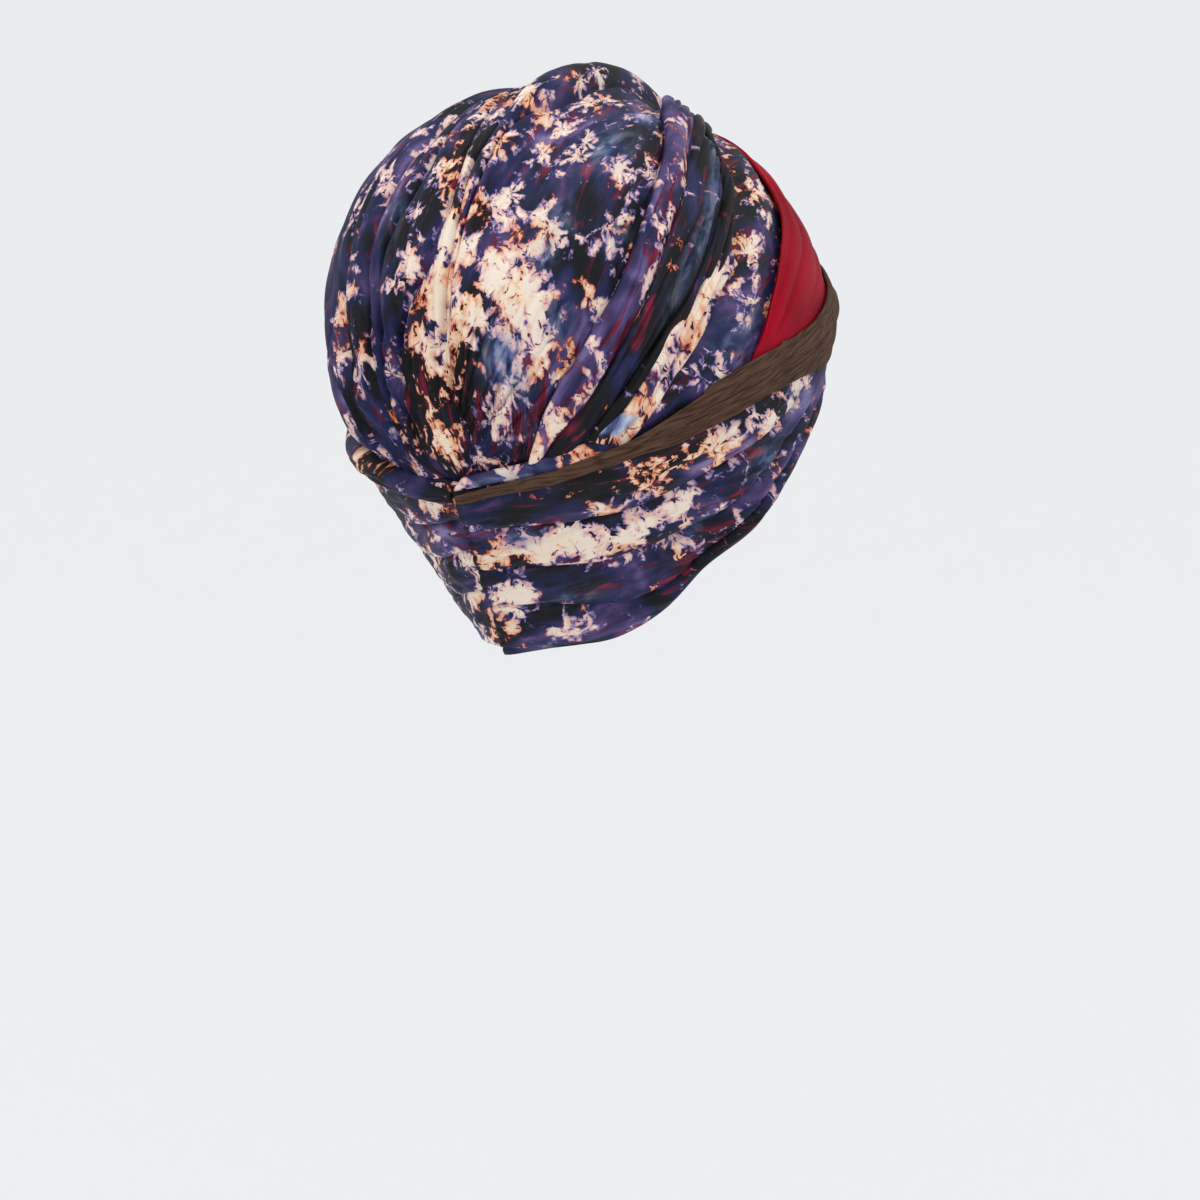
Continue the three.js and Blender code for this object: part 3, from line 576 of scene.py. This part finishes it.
# Halos and petals, lilac and pink or rust and peach, and the watery blue washes, whose pale blue also paints
# a sheen highlight along the side drape's middle pleat
cool_halo = node("ValToRGB", {0: level}, stops=[
    (0.28, "#2A2C5C"), (0.40, "#6B639C"), (0.48, "#A893BC"), (0.54, "#E3B3B0"),
])
warm_halo = node("ValToRGB", {0: level}, stops=[
    (0.28, "#1B0D10"), (0.38, "#7A2A18"), (0.45, "#C8623F"), (0.53, "#F0B292"),
])
warmth = node("Math", {0: tone_of["rust"], 1: 0.20, 2: blotches(print_uv, 24)}, operation="MULTIPLY_ADD")
warmth = node("MapRange", {0: warmth, 1: 0.50, 2: 0.60})
halo = node("Mix", {0: warmth, 6: cool_halo, 7: warm_halo}, out=2, data_type="RGBA")
near_petal = node("MapRange", {0: level, 1: 0.33, 2: 0.43})
dyed = node("Mix", {0: near_petal, 6: ground, 7: halo}, out=2, data_type="RGBA")
petal_pink = node("ValToRGB", {0: level}, stops=[(0.50, "#E9AFA6"), (0.62, "#F3CFC0"), (0.78, "#FBEDDA")])
petal_peach = node("ValToRGB", {0: level}, stops=[(0.50, "#EDA583"), (0.66, "#F6C9A8"), (0.90, "#FBE8CF")])
petal = node("Mix", {0: warmth, 6: petal_pink, 7: petal_peach}, out=2, data_type="RGBA")
on_petal = node("MapRange", {0: level, 1: 0.485, 2: 0.525})
print_colour = node("Mix", {0: on_petal, 6: dyed, 7: petal}, out=2, data_type="RGBA")
wash_and_sheen_blue = node("ValToRGB", {0: wet}, stops=[
    (0.34, "#1E2A55"), (0.46, "#46619A"), (0.56, "#8FA6CC"), (0.68, "#DDD9E4"),
])
wash_and_sheen_share = node("Math", {0: tone_of["wash_and_sheen"], 1: 0.8}, operation="MULTIPLY", use_clamp=True)
print_colour = node("Mix", {0: wash_and_sheen_share, 6: print_colour, 7: wash_and_sheen_blue}, out=2, data_type="RGBA")

# Knit and the finest creases
knit = blotches(cloth_uv, 0.6, 1.0, stretch=0.6)
fine_creases = blotches(cloth_uv, 3.0, 2.0, 0.5, 0.3, stretch=0.16)
soft = node("Bump", {"Height": fine_creases, "Strength": 0.45, "Distance": 0.0009})
bumps = node("Bump", {"Height": knit, "Normal": soft, "Strength": 0.25, "Distance": 0.0002})
surface = node("BsdfPrincipled", {
    "Base Color": print_colour, "Normal": bumps, "Roughness": 0.62, "Specular IOR Level": 0.24,
})
node("OutputMaterial", {"Surface": surface}, out=None)

crown.data.materials.append(print_jersey)
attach(crown, "root")
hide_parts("crown")


# Nape band
# A deep band of the same jersey round the head, pleated lengthwise by the stretch round
# the skull. Its ends meet at a stitched centre-back seam, the right end over the left.
PLEAT_DEPTH = 3.2
SEAM_STEP = 3.2
# Degrees round from the seam in which the step flattens out
SEAM_REACH = 14
TOP_LIP = 4.5
SASH_WIDTH = 24

# Columns: angle from the seam by the wearer's right, creases as shares of the band's height
PLEATS = [
    [0, 0.75, 0.52, 0.3], [16, 0.73, 0.485, 0.25], [31, 0.7, 0.44, 0.17], [37, 0.68, 0.42, 0.14],
    [45, 0.66, 0.37, 0.1], [52, 0.64, 0.32, 0.09], [60, 0.63, 0.29, 0.09], [79, 0.6, 0.34, 0.14],
    [120, 0.6, 0.38, 0.17], [240, 0.6, 0.38, 0.17], [300, 0.62, 0.42, 0.2], [330, 0.69, 0.47, 0.24],
    [347, 0.74, 0.54, 0.31], [360, 0.8, 0.62, 0.36], [366, 0.8, 0.62, 0.36],
]
# The brown sash's edges: angle, lower edge and upper edge as shares of SASH_WIDTH
BROWN = [
    [1.2, -0.22, -0.04], [10, -0.17, 0.03], [25, -0.14, 0.11], [35, -0.06, 0.19],
    [44, -0.03, 0.25], [52, -0.09, 0.35], [60, -0.08, 0.46], [68, -0.08, 0.55],
    [77, -0.1, 0.56], [90, -0.25, 0.45], [104, -0.54, 0.36], [120, -0.62, 0.36],
    [150, -0.6, 0.44], [180, -0.56, 0.46], [215, -0.5, 0.42], [240, -0.34, 0.3],
    [250, -0.22, 0.2], [256.5, -0.14, 0.1],
]

# Columns: angle, share of the band's height, half length and half height in mm, tone, strength
NAPE_SPOTS = [
    [15, 0.83, 22, 5, "bleach_and_shade", -0.9], [34, 0.88, 14, 5, "bleach_and_shade", 0.1], [19, 0.61, 24, 6, "bleach_and_shade", 1.6],
    [38, 0.55, 18, 6, "bleach_and_shade", 1.3], [8, 0.67, 6, 5, "bleach_and_shade", 0.6], [60, 0.57, 12, 4, "bleach_and_shade", 0.4],
    [27, 0.38, 20, 4, "bleach_and_shade", -0.9], [10, 0.36, 8, 4, "bleach_and_shade", 1.0], [16, 0.11, 7, 4, "bleach_and_shade", 0.9],
    [23, 0.13, 4, 4, "bleach_and_shade", 0.5], [30, 0.23, 14, 6, "bleach_and_shade", -0.5], [79, 0.63, 6, 5, "bleach_and_shade", 0.6],
    [70, 0.43, 5, 5, "bleach_and_shade", 0.6], [88, 0.75, 6, 4, "bleach_and_shade", 0.8], [54, 0.76, 6, 4, "bleach_and_shade", 0.4],
    [67, 0.77, 5, 4, "bleach_and_shade", 0.5], [354, 0.87, 10, 3.5, "bleach_and_shade", 1.1], [353, 0.57, 7, 4, "bleach_and_shade", 0.4],
    [330, 0.47, 8, 7, "bleach_and_shade", 0.6], [353, 0.32, 7, 5, "bleach_and_shade", 0.7], [351, 0.09, 7, 4, "bleach_and_shade", 0.5],
    # The spots at angle 0 and 363 in this row, and the purple one at angle 0 below, are painted shade along
    # the seam edge and on the end that lies under it.
    [352, 0.44, 5, 4, "bleach_and_shade", -0.5], [0, 0.5, 1.6, 60, "bleach_and_shade", -1.5], [363, 0.5, 5, 60, "bleach_and_shade", -0.4],
    [15, 0.83, 22, 5, "purple_and_shade", -1.0], [45, 0.85, 20, 5, "purple_and_shade", -0.8], [15, 0.08, 20, 5, "purple_and_shade", 0.6],
    [50, 0.13, 12, 7, "purple_and_shade", 0.6], [70, 0.36, 14, 9, "purple_and_shade", 0.7], [350, 0.72, 10, 5, "purple_and_shade", 0.8],
    [339, 0.90, 8, 6, "purple_and_shade", -0.5], [32, 0.04, 14, 5, "purple_and_shade", 0.8], [52, 0.56, 10, 5, "purple_and_shade", -0.3],
    # The spot at angle 0 is painted shade along the seam.
    [22, 0.33, 22, 5, "purple_and_shade", -0.2], [0, 0.5, 1.6, 60, "purple_and_shade", -1.0],
    [34, 0.90, 14, 4, "rust", 1.1], [47, 0.87, 12, 5, "rust", 1.3], [24, 0.88, 12, 3, "rust", 0.7],
    [54, 0.83, 8, 4, "rust", 0.7], [356, 0.07, 5, 4, "rust", 0.9], [340, 0.94, 10, 4, "rust", 0.6],
    [12, 0.57, 8, 3, "rust", 0.5],
    [356, 0.70, 5, 4, "wine", 1.2], [60, 0.67, 10, 2.5, "wine", 1.0], [68, 0.61, 9, 3, "wine", 1.0],
    [48, 0.15, 8, 4, "wine", 1.1], [12, 0.22, 14, 2, "wine", 0.8], [31, 0.02, 10, 2.5, "wine", 0.9],
    [64, 0.41, 8, 3, "wine", 0.8], [26, 0.51, 8, 2.5, "wine", 0.6],
    [50, 0.33, 6, 3, "wash_and_sheen", 0.7], [13, 0.66, 6, 3, "wash_and_sheen", 0.5], [20, 0.30, 8, 3, "wash_and_sheen", 0.4],
    [74, 0.43, 8, 5, "wash_and_sheen", 0.4], [322, 0.22, 8, 6, "wash_and_sheen", 0.5], [10, 0.03, 5, 3, "wash_and_sheen", 0.4],
    [88, 0.65, 6, 5, "wash_and_sheen", 0.4], [16, 1.03, 12, 2.5, "wash_and_sheen", 0.5],
]


def seam_step(angle):
    """How much higher the right end lies, over the left end at the seam."""
    a = np.where(angle > 340, SEAM_REACH, angle)
    return SEAM_STEP * (1 - ease(a / SEAM_REACH))


rows = np.concatenate([np.linspace(0, 110, 160), np.linspace(112, 300, 90), np.linspace(301.2, 366, 80)])
angle = rows[:, None]
length = nape_length(rows)[:, None]
from_seam = np.minimum(rows, np.abs(360 - rows))[:, None]
calm = np.where(angle > 360, 0.35, mix(0.45, 1, ease((from_seam - 0.5) / 6)))
small = np.minimum(1, length / 50)
creases = [0 * rows] + [read(PLEATS, rows, c) for c in (3, 2, 1)] + [0 * rows + 1]
shares, heights, layers = [0 * angle], [0 * angle + PLEAT_DEPTH * 0.3], [0 * angle]
t = steps(24)[None, :]
for k, (ridge, tall) in enumerate([(0.45, 0.8), (0.5, 0.85), (0.42, 1.0), (0.35, 1.1)]):
    shares.append(creases[k][:, None] + (creases[k + 1] - creases[k])[:, None] * t)
    hem_edge = mix(0.3, 0, t) if k == 0 else 0
    heights.append(PLEAT_DEPTH * tall * np.maximum(fold(t, ridge, full=0.62), hem_edge) + 0 * angle)
    layers.append(0 * angle + k + 0 * t)
lip = 0.7 + (SASH_WIDTH * read(BROWN, rows, 2)[:, None] + TOP_LIP) * ease(angle / 4) * ease((48 - angle) / 14)
t = np.linspace(0, 1, 8)[None, 1:]
shares.append(1 + np.maximum(lip, 0.7) / length * t)
heights.append(PLEAT_DEPTH * (0.35 + 0.6 * fold(0.25 + 0.75 * t, 0.5)) * ease((48 - angle) / 14))
layers.append(0 * angle + 4 + 0 * t)
share, relief, layer = (np.concatenate(x, 1) for x in (shares, heights, layers))
relief = (relief - PLEAT_DEPTH * 0.85) * calm * small
down_mm = (share - 1) * length
round_mm = angle * ROUND_PER_DEGREE + 0 * share
ripple = 0.55 * waves(round_mm / 22, down_mm / 3.4, 5.5) + 0.35 * waves(round_mm / 12, down_mm / 1.8, 9.5)
ripple = ripple - 0.9 * pinches(round_mm / 34, down_mm / 6.5, 2.6)
left_of_seam = ease((angle - 336) / 12) * (angle < 361)
right_of_seam = ease((26 - angle) / 22)
pucker = 1.3 * left_of_seam * waves(round_mm / 11, down_mm / 6, 6.1)
pucker = pucker - 0.9 * right_of_seam * pinches(round_mm / 26, down_mm / 4.2, 4.9)
edges = ease(share / 0.05) * ease((1.02 - share) / 0.03)
relief = relief + (ripple * calm + pucker) * small * edges
points = place(angle + 0 * share, down_mm, relief + seam_step(angle))
cloth_mm = np.stack([round_mm + 700, down_mm + 9 * layer], -1)
print_mm = np.stack([round_mm + 700 + 23 * layer, down_mm + 9 * layer], -1)
tones = {kind: tone(NAPE_SPOTS, kind, angle, share, ROUND_PER_DEGREE, length) for kind in TONE_KINDS}
nape_band = cloth("nape_band_jersey", points, cloth_mm, print_mm, tones, wall=1.8)
nape_band.data.materials.append(print_jersey)
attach(nape_band, "root")
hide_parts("nape_band")


# Band roll
# The printed jersey rolled over on the band line, from the seam round the wearer's left
# to where the brown sash ends.
ROLL_WIDTH = 12
ROLL_THICKNESS = 3.6
GAP = 0.45

# Columns: angle, middle and width as shares of ROLL_WIDTH, thickness share
ROLL = [
    [-102.5, -0.1, 0.42, 0.45], [-90, 0, 0.9, 0.85], [-60, 0.02, 1, 1], [-40, 0.1, 0.95, 1],
    [-25, 0.05, 0.8, 0.95], [-13, -0.2, 0.7, 0.85], [-6, -0.36, 0.6, 0.7], [-1.5, -0.45, 0.45, 0.5],
]

rows = np.linspace(-102.5, -1.5, 170)
angle = rows[:, None]
t = np.linspace(0, 1, 37)[None, :]
middle, width = (ROLL_WIDTH * read(ROLL, rows, c)[:, None] for c in (1, 2))
thick = ROLL_THICKNESS * read(ROLL, rows, 3)[:, None]
rise = middle + width * (t - 0.5)
round_mm = angle * ROUND_PER_DEGREE + 0 * t
ripple = waves(round_mm / 16, rise / 2.4, 3.9) - 1.3 * pinches(round_mm / 30, rise / 5, 7.1)
seat = mix(-1.2, -6.0, ease((t - 0.7) / 0.3))
lift = GAP + mix(seat, thick, fold(t)) + 0.5 * ripple * np.sin(t * math.pi)
points = place(angle + 0 * t, rise, lift)
cloth_mm = np.stack([round_mm + 900, rise + 0 * angle], -1)
tones = {
    "bleach_and_shade": 0 * rise - 0.5, "purple_and_shade": 0 * rise - 0.6, "wine": 0 * rise,
    "rust": 0 * rise + 0.6, "wash_and_sheen": 0 * rise,
}
band_roll = cloth("band_roll_jersey", points, cloth_mm, cloth_mm, tones, wall=0.8)
band_roll.data.materials.append(print_jersey)
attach(band_roll, "root")
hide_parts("band_roll")


# Side drape
# One end of the printed jersey, laid in three pleats from the back of the band over the
# right side of the crown. Its front end runs in under the red sash.
# Creases between its pleats, as reach from the gather and turn over the top
DRAPE_MIDDLE = [
    [21, 176], [28, 167], [38, 162], [50, 156.5], [56, 154], [66, 150], [74, 146.5], [85, 142.5],
    [94, 138.5], [113, 129.5], [130, 122],
]
DRAPE_UNDER = [
    [30, 176.5], [38, 169], [49, 163.5], [60, 159.5], [70, 157], [81, 153], [88, 150.5], [97, 147],
    [105, 141.5], [112, 134], [125, 127],
]


def over_crown(name, curves, starts, ends, rows, sections, tones, crimp, seat, wall):
    """Cloth laid on the crown between curves of reach and turn, one section per strip.

    Each curve runs from its reach in starts to its reach in ends. Each tone is a function of
    the shares of the piece's length and width."""
    along = np.linspace(0, 1, rows)[:, None]
    reaches = [mix(a, b, along) for a, b in zip(starts, ends)]
    turns = [read(curve, r, 1) for curve, r in zip(curves, reaches)]
    reach, turn, lift, layer = [reaches[0]], [turns[0]], [sections[0][1][:1] + 0 * along], [0 * along]
    for k, (t, height) in enumerate(sections):
        reach.append(mix(reaches[k], reaches[k + 1], t[None, 1:]))
        turn.append(mix(turns[k], turns[k + 1], t[None, 1:]))
        lift.append(height[None, 1:] + 0 * along)
        layer.append(0 * along + k + 0 * t[None, 1:])
    reach, turn, lift, layer = (np.concatenate(x, 1) for x in (reach, turn, lift, layer))
    across_mm = (turn - read(DRAPE_MIDDLE, reach, 1)) * TURN_PER_DEGREE * np.sin(np.radians(reach))
    along_mm = reach * RISE_PER_DEGREE
    ripple = 0.5 * waves(across_mm / 3.4, along_mm / 30, 7.7)
    ripple = ripple + 0.3 * waves(across_mm / 1.8, along_mm / 16, 1.7)
    ripple = ripple - crimp * pinches(across_mm / 4.8, along_mm / 70, 3.3)
    swell = mix(0.4, 1, ease(along * 5)) * mix(0.5, 1, ease((1 - along) * 5))
    angle, rise = from_gather(reach, turn)
    points = place(angle, rise, seat + (lift + ripple) * swell)
    cloth_mm = np.stack([along_mm + 300, across_mm + 500 + 14 * layer], -1)
    across = np.linspace(0, 1, reach.shape[1])[None, :]
    filled = {kind: tones[kind](along, across) + 0 * across * along for kind in TONE_KINDS}
    return cloth(name, points, cloth_mm, cloth_mm, filled, wall=wall)


t = np.concatenate([[0], steps(24)])
side_drape = over_crown(
    "side_drape_jersey", [DRAPE_LEFT, DRAPE_MIDDLE, DRAPE_UNDER, DRAPE_RIGHT],
    [17, 20.5, 30, 36], [135, 130, 125, 120], 200,
    [(t, 0.5 + 3.2 * fold(t, 0.35, full=0.6)), (t, 0.5 + 2.9 * fold(t, 0.4, full=0.6)),
     (t, 0.5 + 2.2 * fold(t, 0.45, full=0.6))],
    {
        "bleach_and_shade": lambda v, u: (
            mix(0.0, -1.0, ease((u - 0.26) / 0.12)) + 0.7 * ease((0.22 - v) / 0.15) * (u < 0.6)
        ),
        "purple_and_shade": lambda v, u: (
            mix(0.8, -0.8, ease((u - 0.28) / 0.1)) + 0.5 * ease((v - 0.75) / 0.2) * (u < 0.4)
        ),
        "wine": lambda v, u: 0.5 * ease((0.3 - np.abs(u - 0.2)) / 0.2) * ease((0.7 - v) / 0.2),
        "rust": lambda v, u: 0 * u,
        # Painted sheen: the wash tone here is a pale blue highlight streak along the middle pleat.
        "wash_and_sheen": lambda v, u: 0.3 * ease((0.08 - np.abs(u - 0.55)) / 0.05) * ease((v - 0.3) / 0.2),
    },
    crimp=1.7, seat=-2.2, wall=1.3,
)
side_drape.data.materials.append(print_jersey)
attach(side_drape, "root")
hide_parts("side_drape")


# Tie strap
# A flat folded strap of the print's palest part, laid beside the drape. Its end is turned
# over and shows the washed blue side; its other end runs in under the drape.
# Its edges, as reach from the gather and turn over the top
STRAP_LEFT = [
    [35, 175], [38, 171], [46, 168], [58, 161.5], [64, 159.5], [72, 157.5], [79, 155.5], [88, 153.5],
]
STRAP_RIGHT = [[41, 178], [53, 171.2], [59, 168], [69, 164.5], [76, 161.2], [82, 159.2], [88, 158]]
# Share of its width that is the upper layer, with a lower one beside it
UPPER_LAYER = 0.66

t = np.linspace(0, 1, 37)
flat_fold = np.where(
    t < UPPER_LAYER,
    1.7 * (1 - np.abs(2 * t / UPPER_LAYER - 1) ** 8),
    0.9 * (1 - np.abs(2 * (t - UPPER_LAYER) / (1 - UPPER_LAYER) - 1) ** 6),
)
tie_strap = over_crown(
    "tie_strap_jersey", [STRAP_LEFT, STRAP_RIGHT], [36, 42], [88, 88], 110, [(t, 0.2 + flat_fold)],
    {
        "bleach_and_shade": lambda v, u: mix(0.9, 1.3, ease(v * 2)) - 0.5 * ease((v - 0.8) / 0.2),
        "purple_and_shade": lambda v, u: 0 * u,
        "wine": lambda v, u: 0 * u,
        "rust": lambda v, u: 0.5 * ease((0.35 - v) / 0.2),
        "wash_and_sheen": lambda v, u: (
            1.2 * ease((0.17 - v) / 0.02) * ease((v - 0.03) / 0.02) * ease((0.62 - u) / 0.05)
        ),
    },
    crimp=0.5, seat=-1.6, wall=1.2,
)
tie_strap.data.materials.append(print_jersey)
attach(tie_strap, "root")
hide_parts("tie_strap")


# Red sash
# A wide strip of smooth red jersey over the front of the crown. It comes out from under
# the brown sash and runs up over the right side in a few soft folds.
RED_LOW_RISE = 1.5
# Creases as shares of its height
RED_FOLDS = [0, 0.34, 0.66, 0.88, 0.94, 1.0]

rows = np.linspace(72, 250, 240)
angle = rows[:, None]
t = np.linspace(0, 1, 91)[None, :]
high = np.maximum(red_edge(rows), RED_LOW_RISE + 1.5)[:, None]
covered = SASH_WIDTH * read(BROWN, rows, 2)[:, None]
rise = mix(RED_LOW_RISE, high, t)
soft_folds = 0 * t
for low, top in zip(RED_FOLDS, RED_FOLDS[1:]):
    inside = (t >= low) & (t <= top)
    tall = 1.5 * min(1, (top - low) / 0.2)
    soft_folds = np.where(inside, tall * fold((t - low) / (top - low), 0.6, full=0.9), soft_folds)
ripple = waves(angle * 1.7 / 40 + 0 * t, (rise + 0 * angle) / 8, 4.4)
puff = (0.3 + soft_folds + 0.5 * ripple) * ease((rise - covered - 1) / 9)
points = place(angle + 0 * t, rise, puff - 0.6)
cloth_mm = np.stack([angle * 1.8 + 0 * t, rise + 0 * angle], -1)
red_sash = cloth("red_sash_jersey", points, cloth_mm, cloth_mm, {}, wall=1.5)

# Red viscose jersey: smooth and softly matte, its knit drawn 0.7 mm wide as a faint grain.
red_jersey, node = start_material("red_viscose_jersey")
cloth_uv = node("UVMap", uv_map="cloth_mm")
grain = blotches(cloth_uv, 0.7)
broad = node("Math", {0: blotches(cloth_uv, 30), 1: 0.8}, operation="MULTIPLY")
shade = node("Math", {0: grain, 1: 0.2, 2: broad}, operation="MULTIPLY_ADD")
red = node("ValToRGB", {0: shade}, stops=[(0.35, "#8A0018"), (0.50, "#9E001F"), (0.65, "#AE0226")])
bumps = node("Bump", {"Height": grain, "Strength": 0.3, "Distance": 0.0002})
surface = node("BsdfPrincipled", {
    "Base Color": red, "Normal": bumps, "Roughness": 0.6, "Specular IOR Level": 0.08,
})
node("OutputMaterial", {"Surface": surface}, out=None)
red_sash.data.materials.append(red_jersey)
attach(red_sash, "root")
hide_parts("red_sash")


# Brown sash
# A folded strip of crinkled brown cloth that starts at the seam, widens over the right
# side and crosses the forehead over the red sash, stitched under the band at its ends.
SASH_CLOTH = 1.8

rows = np.linspace(1.2, 256.5, 330)
angle = rows[:, None]
t = np.linspace(0, 1, 45)[None, :]
low, high = (SASH_WIDTH * read(BROWN, rows, c)[:, None] for c in (1, 2))
rise = mix(low, high, t)
full = SASH_CLOTH * mix(0.7, 1, ease((high - low) / SASH_WIDTH))
section = 0.3 + 0.7 * (1 - np.abs(2 * t - 1) ** 5) + 0.14 * np.cos(t * 2 * math.pi * 3)
round_mm = angle * 1.95 + 0 * t
crinkle = 0.25 * waves(round_mm / 14, rise / 1.6, 2.2) - 0.55 * pinches(round_mm / 24, rise / 2.6, 6.4, 0.1)
lift = seam_step(angle) + GAP + full * section + crinkle * mix(0.4, 1, ease((angle - 2) / 20))
points = place(angle + 0 * t, rise, lift + 0.5 * ease((3.0 - rise) / 3) * ease((60 - angle) / 20))
cloth_mm = np.stack([round_mm, rise + 0 * round_mm], -1)
brown_sash = cloth("brown_sash_cloth", points, cloth_mm, cloth_mm, {}, wall=1.2)

# Crinkled brown viscose: matte, with sharp lengthwise creases less than 2 mm apart that
# wander and run into each other. Its colour has painted shade, darker along the creases, and painted
# highlight, lighter between them.
brown_crinkle, node = start_material("crinkled_brown_viscose")
cloth_uv = node("UVMap", uv_map="cloth_mm")
wander = pushed(cloth_uv, 0.7, 9)
crease = node("Math", {0: blotches(wander, 1.9, 1.0, 0.5, stretch=0.07), 1: 0.5}, operation="SUBTRACT")
crease = node("Math", {0: crease}, operation="ABSOLUTE")
crease = node("MapRange", {0: crease, 1: 0.0, 2: 0.08})
slub = blotches(cloth_uv, 0.9, 1.5, stretch=0.1)
# Painted shade in the crinkle creases and painted highlight between them, mixed with the slub's own tone
slub_and_crease_shade = node("Math", {0: crease, 1: 0.3, 2: slub}, operation="MULTIPLY_ADD")
brown_with_crease_shade = node("ValToRGB", {0: slub_and_crease_shade}, stops=[(0.40, "#402D24"), (0.66, "#543E31"), (0.95, "#634A3B")])
low_slub = node("Math", {0: slub, 1: 0.3}, operation="MULTIPLY")
tall = node("Math", {0: crease, 1: 0.7, 2: low_slub}, operation="MULTIPLY_ADD")
bumps = node("Bump", {"Height": tall, "Strength": 0.8, "Distance": 0.0005})
surface = node("BsdfPrincipled", {
    "Base Color": brown_with_crease_shade, "Normal": bumps, "Roughness": 0.8, "Specular IOR Level": 0.1,
})
node("OutputMaterial", {"Surface": surface}, out=None)
brown_sash.data.materials.append(brown_crinkle)
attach(brown_sash, "root")
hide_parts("brown_sash")


# Floor, wall and light
# A pale floor that curves up into a wall, lit by its own panels, and soft light on the wrap
# from large panels in front and above.
bm = bmesh.new()
bmesh.ops.create_grid(bm, x_segments=2, y_segments=60, size=1)
for v in bm.verts:
    s = (v.co.y + 1) / 2
    turn_up = min(max((s - 0.5) / 0.3, 0), 1) * math.pi / 2
    run = min(s, 0.5) / 0.5 * 5.0 - 2.5 + 2.0 * math.sin(turn_up)
    climb = -0.62 + 2.0 * (1 - math.cos(turn_up)) + max(s - 0.8, 0) / 0.2 * 3.0
    ahead = look * run + Vector((look.y, -look.x, 0)) * v.co.x * 6
    v.co = Vector((ahead.x, ahead.y, climb))
for f in bm.faces:
    f.smooth = True
mesh = bpy.data.meshes.new("floor")
bm.to_mesh(mesh)
bm.free()
floor = bpy.data.objects.new("floor", mesh)
bpy.context.scene.collection.objects.link(floor)
painted, node = start_material("pale_matte_paint")
surface = node("BsdfPrincipled", {
    "Base Color": linear("#F1F2F3"), "Roughness": 0.95, "Specular IOR Level": 0.1,
})
node("OutputMaterial", {"Surface": surface}, out=None)
floor.data.materials.append(painted)

world = bpy.data.worlds.new("studio")
bpy.context.scene.world = world
world.use_nodes = True
world.node_tree.nodes["Background"].inputs[0].default_value = linear("#F4F5F8")
world.node_tree.nodes["Background"].inputs[1].default_value = 0.60
bpy.context.scene.view_settings.view_transform = "Standard"

right_hand = Vector((-math.cos(TURN_FROM_BACK), -math.sin(TURN_FROM_BACK), 0))


def panel(name, sideways, away, up, size, power, at=Vector((0, 0, 0))):
    """A square light panel, placed right of, behind and above the wrap as the camera sees it."""
    data = bpy.data.lights.new(name, "AREA")
    data.shape, data.size, data.energy = "SQUARE", size, power
    lamp = bpy.data.objects.new(name, data)
    lamp.location = right_hand * sideways + look * away + Vector((0, 0, up))
    lamp.rotation_euler = (at - lamp.location).to_track_quat("-Z", "Y").to_euler()
    bpy.context.scene.collection.objects.link(lamp)


panel("key_panel", -1.1, -1.6, 1.5, 1.0, 15)
panel("fill_panel", 1.7, -1.4, 0.4, 1.4, 6)
panel("top_panel", 0.1, -0.1, 2.0, 1.2, 9)
wall_middle = look * 3.8 + Vector((0, 0, -0.3))
panel("wall_panel_left", -1.9, 1.3, 1.2, 2.0, 24, at=wall_middle)
panel("wall_panel_right", 1.9, 1.3, 1.2, 2.0, 24, at=wall_middle)
